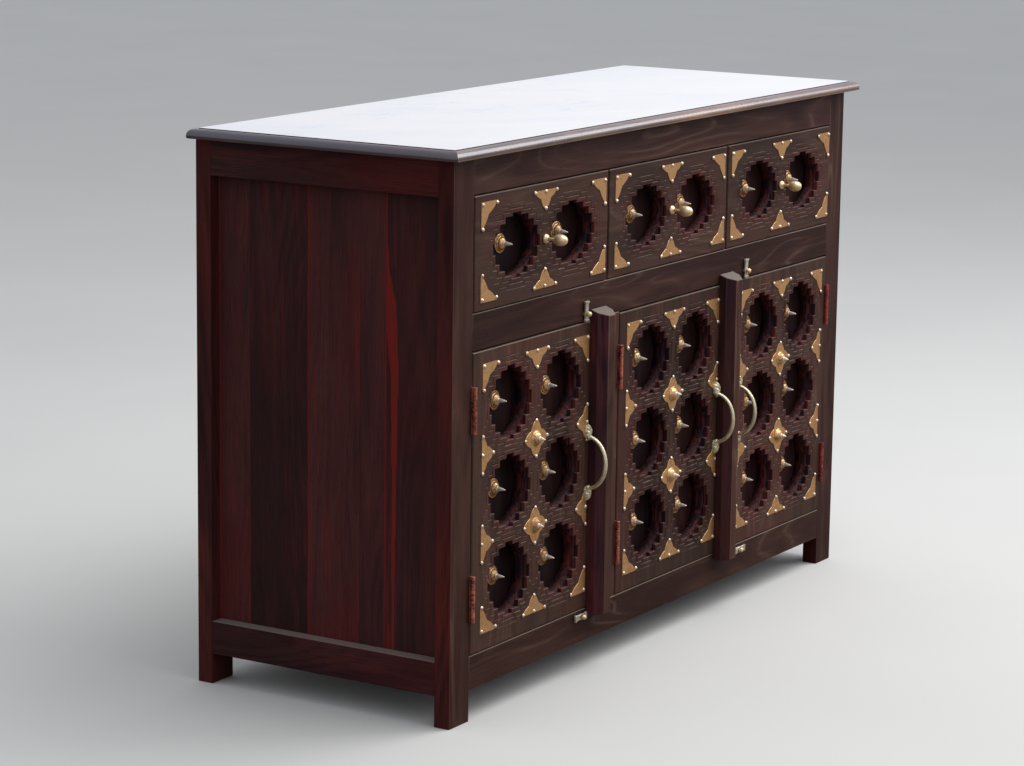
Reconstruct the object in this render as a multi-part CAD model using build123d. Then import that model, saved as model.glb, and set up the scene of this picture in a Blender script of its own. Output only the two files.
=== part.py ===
from build123d import *
import math
import os

# Low sideboard of dark hardwood: three drawers over three cupboard doors, a marble
# slab let into a moulded top, pierced stepped medallions with nailed brass plates.
# Millimetres. +X runs along the front to the right, -Y is the front, +Z is up, and
# the origin lies on the floor under the middle of the overall box.

# Carcass
carcass_width = 1324.0
carcass_depth = 482.0
overall_height = 900.0
top_thickness = 17.0
post_width = 56.0
post_depth = 28.0
rail_thickness = 28.0
foot_height = 50.0
bottom_rail_top = 104.5
middle_rail_bottom = 585.0
middle_rail_top = 643.0
frieze_bottom = 825.0

# Top
top_overhang_front = 20.0
top_overhang_back = 2.0
top_overhang_side = 22.0
moulding_width = 36.0
moulding_lip = 13.0
moulding_upper_round = 12.0
moulding_lower_round = 2.5
marble_thickness = 12.0
marble_gap = 1.3

# Frame-and-panel sides, back and inner boards
side_panel_setback = 22.0
side_panel_thickness = 12.0
back_panel_thickness = 8.0
groove_depth = 8.0
inner_board = 16.0
divider_thickness = 18.0
guide_height = 25.0

# Door row: the places of the two mullions, left to right
wide_mullion_left = -223.0
wide_mullion_right = -157.0
narrow_mullion_left = 217.0
narrow_mullion_right = 243.0

# Drawer row: the seams between the drawer fronts
seam_centres = (-199.5, 209.8)
seam_width = 4.0

# Carved leaves (doors and drawer fronts)
carved_thickness = 32.0
backing_thickness = 8.0
leaf_proud = 1.5
leaf_top_chamfer = 3.0
leaf_gap_above = 1.0
leaf_gap_below = 1.0
door_hinge_gap = 1.5
door_closing_gap = 2.5
backing_inset = 4.0
drawer_gap = 0.5
drawer_end_gap = 1.5

# Medallions: stepped holes whose outer corners lie on an ellipse
step_angles = (10.0, 28.0, 45.0, 62.0, 80.0)
door_medallion = (63.0, 60.0)
door_pitch = (153.0, 141.0)
drawer_medallion = (70.0, 52.0)
drawer_pitch = (168.5, 0.0)
door_field = (322.0, 428.0)
door_field_height = 347.7
drawer_field = (378.0, 154.5)
drawer_field_height = 734.5
door_field_gaps = (5.0, 0.5, 21.5)
drawer_field_offset = 4.0

# Brass
plate_thickness = 1.0
corner_plate = (46.0, 43.0)
edge_plate = (33.5, 30.0)
lobe_rise = 2.4
lobe_chords = 3
cusp_share = 0.45
boss_sides = 8
boss_flange_radius = 16.0
boss_flange_thickness = 2.0
dome_radius = 13.0
dome_shoulder = (9.5, 4.5)
dome_height = 7.0
spike_radius = 3.5
spike_length = 15.5
diamond_spike_length = 10.5

# Closing strips on the first and second door
strip_width = 47.0
strip_depth = 28.5
strip_chamfer = 13.0
strip_covers = (18.0, 19.5)
strip_bottom = 95.0
strip_top = 602.0
strip_top_bevel = 10.0

# Butt hinges
hinge_length = 74.0
hinge_heights = (196.0, 493.0)
knuckle_radius = 3.5
knuckles = 5
knuckle_play = 0.2
hinge_axis_lift = 0.2
leaf_plate_thickness = 1.5
leaf_plate_reach = 29.0
leaf_plate_recess = 1.0
hinge_pin_radius = 1.6
hinge_sides = 8
bearing_play = 0.06

# Bow handles on the doors
handle_height = 351.0
handle_reach = 37.0
handle_span = 86.0
handle_pad = (14.0, 24.0, 5.0)
handle_bar = (7.0, 6.0)
handle_bar_sides = 8
handle_bends = 8
handle_pad_sides = 10
handle_pad_taper = 20.0
handle_root = 1.0
handle_clearance = 0.5
third_handle_from_edge = 18.5

# Drawer knobs
knob_base_radius = 7.5
knob_base_thickness = 3.0
knob_neck_radius = 3.0
knob_neck_end = 16.0
knob_head_radius = 9.5
knob_reach = 41.0
knob_sides = 12
knob_head_bands = 5

# Turn buttons
button_from_strip = 17.0
third_button_from_edge = 38.5
button_upper_height = 597.0
button_lower_height = 94.0
button_long_arm = 21.0
button_short_arm = 12.2
button_side_arm = 15.0
button_waist = 9.0
button_end = (12.0, 4.0)
button_thickness = 4.0
button_washer = 2.1
button_pin_radius = 2.5
button_knob_radius = 4.5
button_knob_height = 6.0
button_play = 0.3
button_sides = 10

# Drawer boxes
box_side = 12.0
box_height = 130.0
box_bottom = 6.0
box_bottom_lift = 8.0
box_length = 392.0
box_side_clearance = 1.0
runner_clearance = 0.3

# Places that follow from the sizes above
pull_reach = leaf_proud + knob_reach
overall_depth = pull_reach + carcass_depth + top_overhang_back
front = -overall_depth / 2 + pull_reach
back = front + carcass_depth
post_back = front + post_depth
back_post_front = back - post_depth
half_width = carcass_width / 2
opening_half = half_width - post_width
top_underside = overall_height - top_thickness
panel_outer = half_width - side_panel_setback
panel_inner = panel_outer - side_panel_thickness
leaf_front = front - leaf_proud
carved_back = leaf_front + carved_thickness
leaf_back = carved_back + backing_thickness
hinge_axis_y = leaf_front - hinge_axis_lift - knuckle_radius
bottom_rail_heights = (foot_height, bottom_rail_top)
frieze_heights = (frieze_bottom, top_underside)
panel_heights = (bottom_rail_top - groove_depth, frieze_bottom + groove_depth)
back_panel_front = back - post_depth / 2 - back_panel_thickness / 2
back_panel_y = (back_panel_front, back_panel_front + back_panel_thickness)


def board(x_range, y_range, z_range):
    """A square-edged board between three pairs of limits."""
    size = [high - low for low, high in (x_range, y_range, z_range)]
    middle = [(high + low) / 2 for low, high in (x_range, y_range, z_range)]
    return Pos(*middle) * Box(*size)


def facing_front(y, x=0.0, z=0.0):
    """A work plane that looks to the front: local x is X, local y is Z, out is -Y."""
    return Plane(origin=(x, y, z), x_dir=(1, 0, 0), z_dir=(0, -1, 0))


def along_x(profile_points, x_range):
    """A prism along X whose section is given as (y, z) points."""
    plane = Plane(origin=(x_range[0], 0, 0), x_dir=(0, 1, 0), z_dir=(1, 0, 0))
    section = plane * make_face(Polyline(*profile_points, close=True))
    return extrude(section, x_range[1] - x_range[0])


def circle_points(radii, sides):
    """The corners of a polygon on an ellipse, or on a circle of one radius."""
    across, up = radii if isinstance(radii, tuple) else (radii, radii)
    turns = [2 * math.pi * (number + 0.5) / sides for number in range(sides)]
    return [(across * math.cos(turn), up * math.sin(turn)) for turn in turns]


def turned(profile, sides):
    """A turned body with flat sides; profile lists (radius, height) up its axis."""
    rings = []
    for radius, height in profile:
        corners = circle_points(radius, sides) if radius else [(0, 0)]
        rings.append([Vector(x, y, height) for x, y in corners])
    faces = []
    for lower, upper in zip(rings, rings[1:]):
        for number in range(sides):
            near, far = number, (number + 1) % sides
            corners = [lower[near % len(lower)], lower[far % len(lower)]]
            corners += [upper[far % len(upper)], upper[near % len(upper)]]
            distinct = [c for place, c in enumerate(corners) if c not in corners[:place]]
            faces.append(Face(Wire.make_polygon(distinct)))
    for ring in (rings[0], rings[-1]):
        if len(ring) > 1:
            faces.append(Face(Wire.make_polygon(ring)))
    return Solid(Shell(faces))


def bored_radius(shaft_radius, sides):
    """The corner radius of a bore whose flats clear a shaft by the bearing play."""
    return (shaft_radius + bearing_play) / math.cos(math.pi / sides)


def save(shape, node):
    export_step(shape, f"parts/{node}.step")


def group(solids):
    """Separate solids that share one node."""
    return Compound(children=list(solids))


# Doors and drawers: limits of each leaf along the front
door_openings = (
    (-opening_half, wide_mullion_left),
    (wide_mullion_right, narrow_mullion_left),
    (narrow_mullion_right, opening_half),
)
door_hinge_sides = (-1, -1, 1)


def door_limits(index):
    low, high = door_openings[index]
    if door_hinge_sides[index] < 0:
        return low + door_hinge_gap, high - door_closing_gap
    return low + door_closing_gap, high - door_hinge_gap


def hinge_axis_x(index):
    low, high = door_openings[index]
    if door_hinge_sides[index] < 0:
        return low + door_hinge_gap / 2
    return high - door_hinge_gap / 2


def drawer_limits(index):
    edges = [
        (-opening_half + drawer_end_gap, seam_centres[0] - seam_width / 2),
        (seam_centres[0] + seam_width / 2, seam_centres[1] - seam_width / 2),
        (seam_centres[1] + seam_width / 2, opening_half - drawer_end_gap),
    ]
    return edges[index]


def drawer_bay(index):
    """The clear space between the guides that a drawer box runs in."""
    edges = [
        (-opening_half, seam_centres[0] - divider_thickness / 2),
        (seam_centres[0] + divider_thickness / 2, seam_centres[1] - divider_thickness / 2),
        (seam_centres[1] + divider_thickness / 2, opening_half),
    ]
    return edges[index]


door_heights = (bottom_rail_top + leaf_gap_below, middle_rail_bottom - leaf_gap_above)
drawer_heights = (middle_rail_top + drawer_gap, frieze_bottom - drawer_gap)


# Hinges -----------------------------------------------------------------------

def knuckle_heights(centre_height):
    """Lower and upper end of each knuckle, from the bottom up."""
    pitch = hinge_length / knuckles
    bottom = centre_height - hinge_length / 2
    ends = []
    for number in range(knuckles):
        low = bottom + number * pitch
        ends.append((low + knuckle_play / 2, low + pitch - knuckle_play / 2))
    return ends


def hinge_leaf(axis_x, side, centre_height, numbers):
    """A leaf and its own knuckles; side is the direction from the axis to the leaf."""
    gap = door_hinge_gap / 2 + leaf_plate_recess - leaf_plate_thickness
    near = axis_x + side * gap
    far = axis_x + side * (gap + leaf_plate_thickness)
    x_range = (min(near, far), max(near, far))
    clear = hinge_axis_y + knuckle_radius + 2 * knuckle_play
    z_range = (centre_height - hinge_length / 2, centre_height + hinge_length / 2)
    leaf = board(x_range, (clear, hinge_axis_y + leaf_plate_reach), z_range)
    for number, (low, high) in enumerate(knuckle_heights(centre_height)):
        if number in numbers:
            leaf += board(x_range, (hinge_axis_y, clear), (low, high))
            barrel = turned([(knuckle_radius, low), (knuckle_radius, high)], hinge_sides)
            leaf += Pos(axis_x, hinge_axis_y, 0) * barrel
    return leaf


def frame_hinge_leaf(index, centre_height):
    """The leaf on the frame: odd knuckles, with the pin fast in them."""
    axis_x = hinge_axis_x(index)
    side = door_hinge_sides[index]
    leaf = hinge_leaf(axis_x, side, centre_height, range(0, knuckles, 2))
    ends = (centre_height - hinge_length / 2 + 1, centre_height + hinge_length / 2 - 1)
    pin = turned([(hinge_pin_radius, height) for height in ends], hinge_sides)
    return leaf + Pos(axis_x, hinge_axis_y, 0) * pin


def door_hinge_leaf(index, centre_height):
    """The leaf on the door: even knuckles, bored to turn on the pin."""
    axis_x = hinge_axis_x(index)
    side = -door_hinge_sides[index]
    leaf = hinge_leaf(axis_x, side, centre_height, range(1, knuckles, 2))
    radius = bored_radius(hinge_pin_radius, hinge_sides)
    ends = (centre_height - hinge_length / 2, centre_height + hinge_length / 2)
    bore = turned([(radius, height) for height in ends], hinge_sides)
    return leaf - Pos(axis_x, hinge_axis_y, 0) * bore


def hinge_pockets(edge_x, side, face_y):
    """The shallow pockets for the hinge leaves in an edge that faces -side."""
    inner = edge_x + side * leaf_plate_recess
    x_range = (min(edge_x, inner), max(edge_x, inner))
    y_range = (face_y, hinge_axis_y + leaf_plate_reach)
    pockets = []
    for height in hinge_heights:
        z_range = (height - hinge_length / 2, height + hinge_length / 2)
        pockets.append(board(x_range, y_range, z_range))
    return pockets


# Carcass ----------------------------------------------------------------------

def front_post(side):
    """A front post, cut for the side panel and, on its inner edge, for the hinges."""
    x_range = sorted((side * opening_half, side * half_width))
    post = board(x_range, (front, post_back), (0, top_underside))
    post -= side_panel(side)
    for pocket in hinge_pockets(side * opening_half, side, front):
        post -= pocket
    return post


def back_post(side):
    """A back post, grooved for the side panel and for the back panel."""
    x_range = sorted((side * opening_half, side * half_width))
    post = board(x_range, (back_post_front, back), (0, top_underside))
    return post - side_panel(side) - back_panel()


def front_rail(z_range):
    return board((-opening_half, opening_half), (front, front + rail_thickness), z_range)


def side_rail(side, z_range):
    """A side rail, rabbeted inside for the end of the side panel."""
    x_range = sorted((side * panel_inner, side * half_width))
    rail = board(x_range, (post_back, back_post_front), z_range)
    return rail - side_panel(side)


def side_panel(side):
    x_range = sorted((side * panel_inner, side * panel_outer))
    y_range = (post_back - groove_depth, back_post_front + groove_depth)
    return board(x_range, y_range, panel_heights)


def back_rail(z_range):
    """A back rail, grooved for the back panel."""
    return board((-opening_half, opening_half), (back_post_front, back), z_range) - back_panel()


def back_panel():
    half = opening_half + groove_depth
    return board((-half, half), back_panel_y, panel_heights)


def mullion(x_range):
    y_range = (front, front + rail_thickness)
    return board(x_range, y_range, (bottom_rail_top, middle_rail_bottom))


def wide_mullion():
    """The mullion that carries the second door's hinges."""
    post = mullion((wide_mullion_left, wide_mullion_right))
    for pocket in hinge_pockets(wide_mullion_right, -1, front):
        post -= pocket
    return post


def inner_shelf(top):
    """A full-width board behind the front rail, flush with the rail's top."""
    x_range = (-panel_inner, panel_inner)
    return board(x_range, (post_back, back_post_front), (top - inner_board, top))


def partition(centre_x):
    """An upright between the cupboards, behind its mullion."""
    x_range = (centre_x - inner_board / 2, centre_x + inner_board / 2)
    z_range = (bottom_rail_top, middle_rail_top - inner_board)
    return board(x_range, (front + rail_thickness, back_post_front), z_range)


def drawer_guides():
    """Two dividers between the drawer bays and a guide strip at each end."""
    y_range = (leaf_back + 1, back_post_front)
    for centre in seam_centres:
        x_range = (centre - divider_thickness / 2, centre + divider_thickness / 2)
        yield board(x_range, y_range, (middle_rail_top, top_underside))
    for side in (-1, 1):
        x_range = sorted((side * opening_half, side * panel_inner))
        z_range = (middle_rail_top, middle_rail_top + guide_height)
        yield board(x_range, (post_back, back_post_front), z_range)


# Top --------------------------------------------------------------------------

top_half_width = half_width + top_overhang_side
top_front = front - top_overhang_front
top_back = back + top_overhang_back
top_middle = (top_front + top_back) / 2
top_half_depth = (top_back - top_front) / 2
ledge_height = overall_height - marble_thickness


def moulding(reach, half_length):
    """One edge moulding, its outer face at -Y, mitred at both ends."""
    outer = -reach
    lip_end = outer + moulding_lip
    inner = outer + moulding_width
    low = top_underside
    high = overall_height
    upper = moulding_upper_round
    lower = moulding_lower_round
    plane = Plane(origin=(-half_length, 0, 0), x_dir=(0, 1, 0), z_dir=(1, 0, 0))
    outline = [
        Line((inner, low), (outer + lower, low)),
        RadiusArc((outer + lower, low), (outer, low + lower), lower),
        Line((outer, low + lower), (outer, high - upper)),
        RadiusArc((outer, high - upper), (outer + upper, high), upper),
        Line((outer + upper, high), (lip_end, high)),
        Line((lip_end, high), (lip_end, ledge_height)),
        Line((lip_end, ledge_height), (inner, ledge_height)),
        Line((inner, ledge_height), (inner, low)),
    ]
    bar = extrude(plane * make_face(outline), 2 * half_length)
    short = half_length - moulding_width
    ends = Polyline(
        (-half_length, outer), (half_length, outer), (short, inner), (-short, inner), close=True
    )
    mitre = Pos(0, 0, low) * extrude(make_face(ends), top_thickness)
    return bar & mitre


def top_mouldings():
    for turn, reach, half_length in (
        (0, top_half_depth, top_half_width),
        (90, top_half_width, top_half_depth),
        (180, top_half_depth, top_half_width),
        (270, top_half_width, top_half_depth),
    ):
        yield Pos(0, top_middle, 0) * Rot(0, 0, turn) * moulding(reach, half_length)


def top_plate(inset, z_range):
    """A rectangular plate set in from the outline of the top."""
    x_half = top_half_width - inset
    return board((-x_half, x_half), (top_front + inset, top_back - inset), z_range)


# Carved leaves ----------------------------------------------------------------

def stepped_outline(radii):
    """Corners of a stepped medallion, anticlockwise from the right-hand side."""
    corners = []
    for angle in step_angles:
        turn = math.radians(angle)
        corners.append((radii[0] * math.cos(turn), radii[1] * math.sin(turn)))
    quadrant = []
    for number, (x, z) in enumerate(corners):
        if number:
            quadrant.append((x, corners[number - 1][1]))
        quadrant.append((x, z))
    upper = quadrant + [(-x, z) for x, z in reversed(quadrant)]
    return upper + [(x, -z) for x, z in reversed(upper)]


def medallion_centres(field_centre, pitch, rows):
    """Centres of two columns of medallions about the middle of a field."""
    centres = []
    for column in (-1, 1):
        for row in range(rows):
            z = field_centre[1] + (row - (rows - 1) / 2) * pitch[1]
            centres.append((field_centre[0] + column * pitch[0] / 2, z))
    return centres


def carved_leaf(x_range, z_range, radii, centres):
    """A thick leaf with a chamfered top arris, pierced by stepped medallions."""
    low, high = z_range
    cut = leaf_top_chamfer
    section = [
        (leaf_front, low),
        (leaf_front, high - cut),
        (leaf_front + cut, high),
        (carved_back, high),
        (carved_back, low),
    ]
    leaf = along_x(section, x_range)
    outline = make_face(Polyline(*stepped_outline(radii), close=True))
    for x, z in centres:
        hole = extrude(facing_front(carved_back, x, z) * outline, carved_thickness)
        leaf -= hole
    return leaf


# Brass ------------------------------------------------------------------------

def lobe(start, end):
    """Points from start up to end along an arc that bulges away from the root."""
    chord = (end[0] - start[0], end[1] - start[1])
    outward = Vector(start[0] + end[0], start[1] + end[1]).normalized()
    points = []
    for number in range(lobe_chords):
        share = number / lobe_chords
        rise = lobe_rise * 4 * share * (1 - share)
        points.append((
            start[0] + chord[0] * share + outward.X * rise,
            start[1] + chord[1] * share + outward.Y * rise,
        ))
    return points


def lobed_plate(reach, signs):
    """A plate whose quadrants each have an edge of two lobes that meet in a cusp.

    signs lists the quadrants in turn: one is a corner plate, two are an edge plate
    and four are a diamond.
    """
    points = []
    for sign_x, sign_z in signs:
        side_tip = (sign_x * reach[0], 0.0)
        end_tip = (0.0, sign_z * reach[1])
        cusp = (sign_x * reach[0] * cusp_share, sign_z * reach[1] * cusp_share)
        start, end = (side_tip, end_tip) if sign_x * sign_z > 0 else (end_tip, side_tip)
        points += lobe(start, cusp) + lobe(cusp, end)
    if len(signs) < 4:
        points.append(end)
    if len(signs) == 1:
        points.append((0.0, 0.0))
    return make_face(Polyline(*points, close=True))


def flat_brass(outline, x, z):
    return extrude(facing_front(leaf_front, x, z) * outline, plate_thickness)


def border_plates(field_centre, field, side_heights):
    """Corner, edge and side plates round a carved field."""
    half_x, half_z = field[0] / 2, field[1] / 2
    x, z = field_centre
    for sign_x, sign_z in ((1, 1), (-1, 1), (-1, -1), (1, -1)):
        outline = lobed_plate(corner_plate, [(-sign_x, -sign_z)])
        yield flat_brass(outline, x + sign_x * half_x, z + sign_z * half_z)
    for sign_z in (1, -1):
        signs = [(-1, -1), (1, -1)] if sign_z > 0 else [(1, 1), (-1, 1)]
        yield flat_brass(lobed_plate(edge_plate, signs), x, z + sign_z * half_z)
    for height in side_heights:
        for sign_x in (-1, 1):
            signs = [(1, -1), (1, 1)] if sign_x < 0 else [(-1, 1), (-1, -1)]
            yield flat_brass(lobed_plate(edge_plate, signs), x + sign_x * half_x, z + height)


def boss(spike):
    """The profile of a domed boss with a spike."""
    return [
        (dome_radius, 0),
        dome_shoulder,
        (spike_radius, dome_height),
        (0, dome_height + spike),
    ]


def niche_boss(x, z):
    """A flanged boss on the floor of a medallion."""
    flange = [(boss_flange_radius, 0), (boss_flange_radius, boss_flange_thickness)]
    raised = [(radius, height + boss_flange_thickness) for radius, height in boss(spike_length)]
    return facing_front(carved_back, x, z).location * turned(flange + raised, boss_sides)


def diamond_brass(x, z):
    """A diamond plate with a boss on its middle."""
    outline = lobed_plate(edge_plate, [(1, 1), (-1, 1), (-1, -1), (1, -1)])
    yield flat_brass(outline, x, z)
    stud = turned(boss(diamond_spike_length), boss_sides)
    yield facing_front(leaf_front - plate_thickness, x, z).location * stud


# Doors ------------------------------------------------------------------------

def door_field_centre(index):
    """The field keeps its gap to the strip or, on the third door, to the closing edge."""
    clear = door_field_gaps[index] + door_field[0] / 2
    if index < 2:
        return (strip_limits(index)[0] - clear, door_field_height)
    return (door_limits(index)[0] + clear, door_field_height)


def door_panel(index):
    centres = medallion_centres(door_field_centre(index), door_pitch, 3)
    leaf = carved_leaf(door_limits(index), door_heights, door_medallion, centres)
    side = door_hinge_sides[index]
    edge = door_limits(index)[0] if side < 0 else door_limits(index)[1]
    for pocket in hinge_pockets(edge, -side, leaf_front):
        leaf -= pocket
    return leaf


def door_backing(index):
    """The board behind the carved leaf; its closing edge is set back to swing clear."""
    low, high = door_limits(index)
    if door_hinge_sides[index] < 0:
        high -= backing_inset
    else:
        low += backing_inset
    z_range = (door_heights[0], door_heights[1] - leaf_top_chamfer)
    return board((low, high), (carved_back, leaf_back), z_range)


def door_brass(index):
    centre = door_field_centre(index)
    row = door_pitch[1] / 2
    yield from border_plates(centre, door_field, (-row, row))
    for height in (-row, row):
        yield from diamond_brass(centre[0], centre[1] + height)
    for x, z in medallion_centres(centre, door_pitch, 3):
        yield niche_boss(x, z)


def strip_limits(index):
    """The closing strip laps over the mullion beside its door."""
    right = door_openings[index][1] + strip_covers[index]
    return right - strip_width, right


def closing_strip(index):
    """A chamfered strip on the closing edge, bevelled at its top end."""
    low, high = strip_limits(index)
    base = leaf_front
    crown = leaf_front - strip_depth + leaf_proud
    shoulder = crown + strip_chamfer
    outline = Polyline(
        (low, base), (low, shoulder), (low + strip_chamfer, crown),
        (high - strip_chamfer, crown), (high, shoulder), (high, base), close=True
    )
    strip = Pos(0, 0, strip_bottom) * extrude(make_face(outline), strip_top - strip_bottom)
    corner = [(base, strip_top), (crown - 1, strip_top + 1), (crown - 1, strip_top - strip_top_bevel)]
    return strip - along_x(corner, (low - 1, high + 1))


def handle_x(index):
    if index < 2:
        return strip_limits(index)[0] - handle_clearance - handle_pad[0] / 2
    return door_limits(index)[0] + third_handle_from_edge


def bow_handle(index):
    """A cast bow between two oval pads."""
    seat = leaf_front - plate_thickness
    half_span = handle_span / 2
    bar_reach = handle_reach + leaf_front - seat - handle_bar[1] / 2
    face = facing_front(seat, handle_x(index), handle_height)
    oval = circle_points((handle_pad[0] / 2, handle_pad[1] / 2), handle_pad_sides)
    pad_centre = half_span + handle_pad[1] / 2 - handle_bar[1] / 2
    pads = []
    for end in (-1, 1):
        outline = Pos(0, end * pad_centre) * make_face(Polyline(*oval, close=True))
        pads.append(extrude(face * outline, handle_pad[2], taper=handle_pad_taper))
    bends = [math.pi * number / handle_bends for number in range(handle_bends + 1)]
    rise = bar_reach - handle_root
    route = [(0, half_span * math.cos(turn), handle_root + rise * math.sin(turn)) for turn in bends]
    path = face * Polyline(*route)
    bar = circle_points((handle_bar[0] / 2, handle_bar[1] / 2), handle_bar_sides)
    section = Plane(origin=path @ 0, x_dir=(1, 0, 0), z_dir=path % 0)
    bow = sweep(section * make_face(Polyline(*bar, close=True)), path, transition=Transition.RIGHT)
    return bow + pads


# Drawers ----------------------------------------------------------------------

def drawer_field_centre(index):
    low, high = drawer_limits(index)
    return ((low + high) / 2 + drawer_field_offset, drawer_field_height)


def drawer_front(index):
    centres = medallion_centres(drawer_field_centre(index), drawer_pitch, 1)
    return carved_leaf(drawer_limits(index), drawer_heights, drawer_medallion, centres)


def drawer_box(index):
    """Inner front, two sides and a back, with a bottom let into the sides."""
    low, high = drawer_limits(index)
    inset = leaf_top_chamfer
    z_range = (drawer_heights[0] + inset, drawer_heights[1] - inset)
    yield board((low + inset, high - inset), (carved_back, leaf_back), z_range)
    left = drawer_bay(index)[0] + box_side_clearance
    right = drawer_bay(index)[1] - box_side_clearance
    foot = middle_rail_top + runner_clearance
    rear = leaf_back + box_length
    floor = (foot + box_bottom_lift, foot + box_bottom_lift + box_bottom)
    bottom_x = (left + box_side / 2, right - box_side / 2)
    groove = board(bottom_x, (leaf_back, rear), floor)
    for x_range in ((left, left + box_side), (right - box_side, right)):
        yield board(x_range, (leaf_back, rear), (foot, foot + box_height)) - groove
    inner_x = (left + box_side, right - box_side)
    yield board(inner_x, (rear - box_side, rear), (floor[1], foot + box_height))
    yield groove


def drawer_brass(index):
    centre = drawer_field_centre(index)
    yield from border_plates(centre, drawer_field, ())
    for x, z in medallion_centres(centre, drawer_pitch, 1):
        yield niche_boss(x, z)


def drawer_knob(index):
    """A turned knob: a flat rosette, a thin neck and an egg-shaped head."""
    x, z = drawer_field_centre(index)
    half_length = (knob_reach - knob_neck_end) / 2
    middle = knob_reach - half_length
    profile = [
        (knob_base_radius, 0),
        (knob_base_radius, knob_base_thickness),
        (knob_neck_radius, knob_base_thickness + 2),
        (knob_neck_radius, knob_neck_end + 1),
    ]
    for number in range(1, knob_head_bands + 1):
        turn = math.pi * (number / (knob_head_bands + 1) - 0.5)
        profile.append((knob_head_radius * math.cos(turn), middle + half_length * math.sin(turn)))
    profile.append((0, knob_reach))
    return facing_front(leaf_front, x, z).location * turned(profile, knob_sides)


# Turn buttons -----------------------------------------------------------------

def button_places():
    """Each button as (name, x, z, the way its long arm points, its other arm)."""
    left_x = strip_limits(0)[0] - button_from_strip
    right_x = door_limits(2)[0] + third_button_from_edge
    return (
        ("upper_left", left_x, button_upper_height, 90, button_short_arm),
        ("upper_right", right_x, button_upper_height, 90, button_short_arm),
        ("lower_left", left_x, button_lower_height, 180, button_side_arm),
        ("lower_right", right_x, button_lower_height, 0, button_side_arm),
    )


def turn_button(x, z, turn, short):
    """A flat bar with flanged ends, bored for its pivot."""
    length = button_long_arm + short
    shift = (button_long_arm - short) / 2
    bar = Pos(shift, 0) * Rectangle(length, button_waist)
    for end in (button_long_arm - button_end[1] / 2, -short + button_end[1] / 2):
        bar += Pos(end, 0) * Rectangle(button_end[1], button_end[0])
    bore = circle_points(bored_radius(button_pin_radius, button_sides), button_sides)
    bar -= make_face(Polyline(*bore, close=True))
    plane = facing_front(front - button_washer - button_play, x, z)
    return extrude(plane * (Rot(0, 0, turn) * bar), button_thickness)


def button_pivot(x, z):
    """A screw with a washer under the button and a small knob in front of it."""
    head = button_washer + button_thickness + 2 * button_play
    washer_radius = (button_waist - 1) / 2
    profile = [
        (washer_radius, 0),
        (washer_radius, button_washer),
        (button_pin_radius, button_washer),
        (button_pin_radius, head),
        (button_knob_radius, head),
        (button_knob_radius, head + button_knob_height / 2),
        (button_knob_radius / 2, head + button_knob_height),
    ]
    return facing_front(front, x, z).location * turned(profile, button_sides)


# Build ------------------------------------------------------------------------

def build_carcass():
    for side, name in ((-1, "left"), (1, "right")):
        save(front_post(side), f"front_post_{name}")
        save(back_post(side), f"back_post_{name}")
        save(side_panel(side), f"side_panel_{name}")
        save(side_rail(side, bottom_rail_heights), f"side_rail_lower_{name}")
        save(side_rail(side, frieze_heights), f"side_rail_upper_{name}")
    save(front_rail(bottom_rail_heights), "front_rail_bottom")
    save(front_rail((middle_rail_bottom, middle_rail_top)), "front_rail_middle")
    save(front_rail(frieze_heights), "front_rail_frieze")
    save(wide_mullion(), "mullion_wide")
    save(mullion((narrow_mullion_left, narrow_mullion_right)), "mullion_narrow")
    save(group([back_rail(bottom_rail_heights), back_rail(frieze_heights)]), "back_rails")
    save(back_panel(), "back_panel")
    save(inner_shelf(bottom_rail_top), "floor_board")
    save(inner_shelf(middle_rail_top), "drawer_deck")
    save(partition((wide_mullion_left + wide_mullion_right) / 2), "partition_left")
    save(partition((narrow_mullion_left + narrow_mullion_right) / 2), "partition_right")
    save(group(drawer_guides()), "drawer_guides")


def build_top():
    save(group(top_mouldings()), "top_mouldings")
    save(top_plate(moulding_width, (top_underside, ledge_height)), "sub_top")
    save(top_plate(moulding_lip + marble_gap, (ledge_height, overall_height)), "marble_slab")


def build_doors():
    frame_leaves = []
    for index in range(3):
        name = f"door_{index + 1}"
        save(door_panel(index), f"{name}_panel")
        save(door_backing(index), f"{name}_backing")
        save(group(door_brass(index)), f"{name}_brass")
        save(bow_handle(index), f"{name}_handle")
        save(group(door_hinge_leaf(index, height) for height in hinge_heights), f"{name}_hinges")
        frame_leaves += [frame_hinge_leaf(index, height) for height in hinge_heights]
        if index < 2:
            save(closing_strip(index), f"{name}_strip")
    save(group(frame_leaves), "frame_hinges")


def build_drawers():
    for index in range(3):
        name = f"drawer_{index + 1}"
        save(drawer_front(index), f"{name}_front")
        save(group(drawer_box(index)), f"{name}_box")
        save(group(drawer_brass(index)), f"{name}_brass")
        save(drawer_knob(index), f"{name}_knob")


def build_buttons():
    pivots = []
    for name, x, z, turn, short in button_places():
        save(turn_button(x, z, turn, short), f"button_{name}")
        pivots.append(button_pivot(x, z))
    save(group(pivots), "button_pivots")


os.makedirs("parts", exist_ok=True)
build_carcass()
build_top()
build_doors()
build_drawers()
build_buttons()
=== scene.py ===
import math
import random

import bmesh
import bpy
from mathutils import Matrix, Vector


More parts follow.
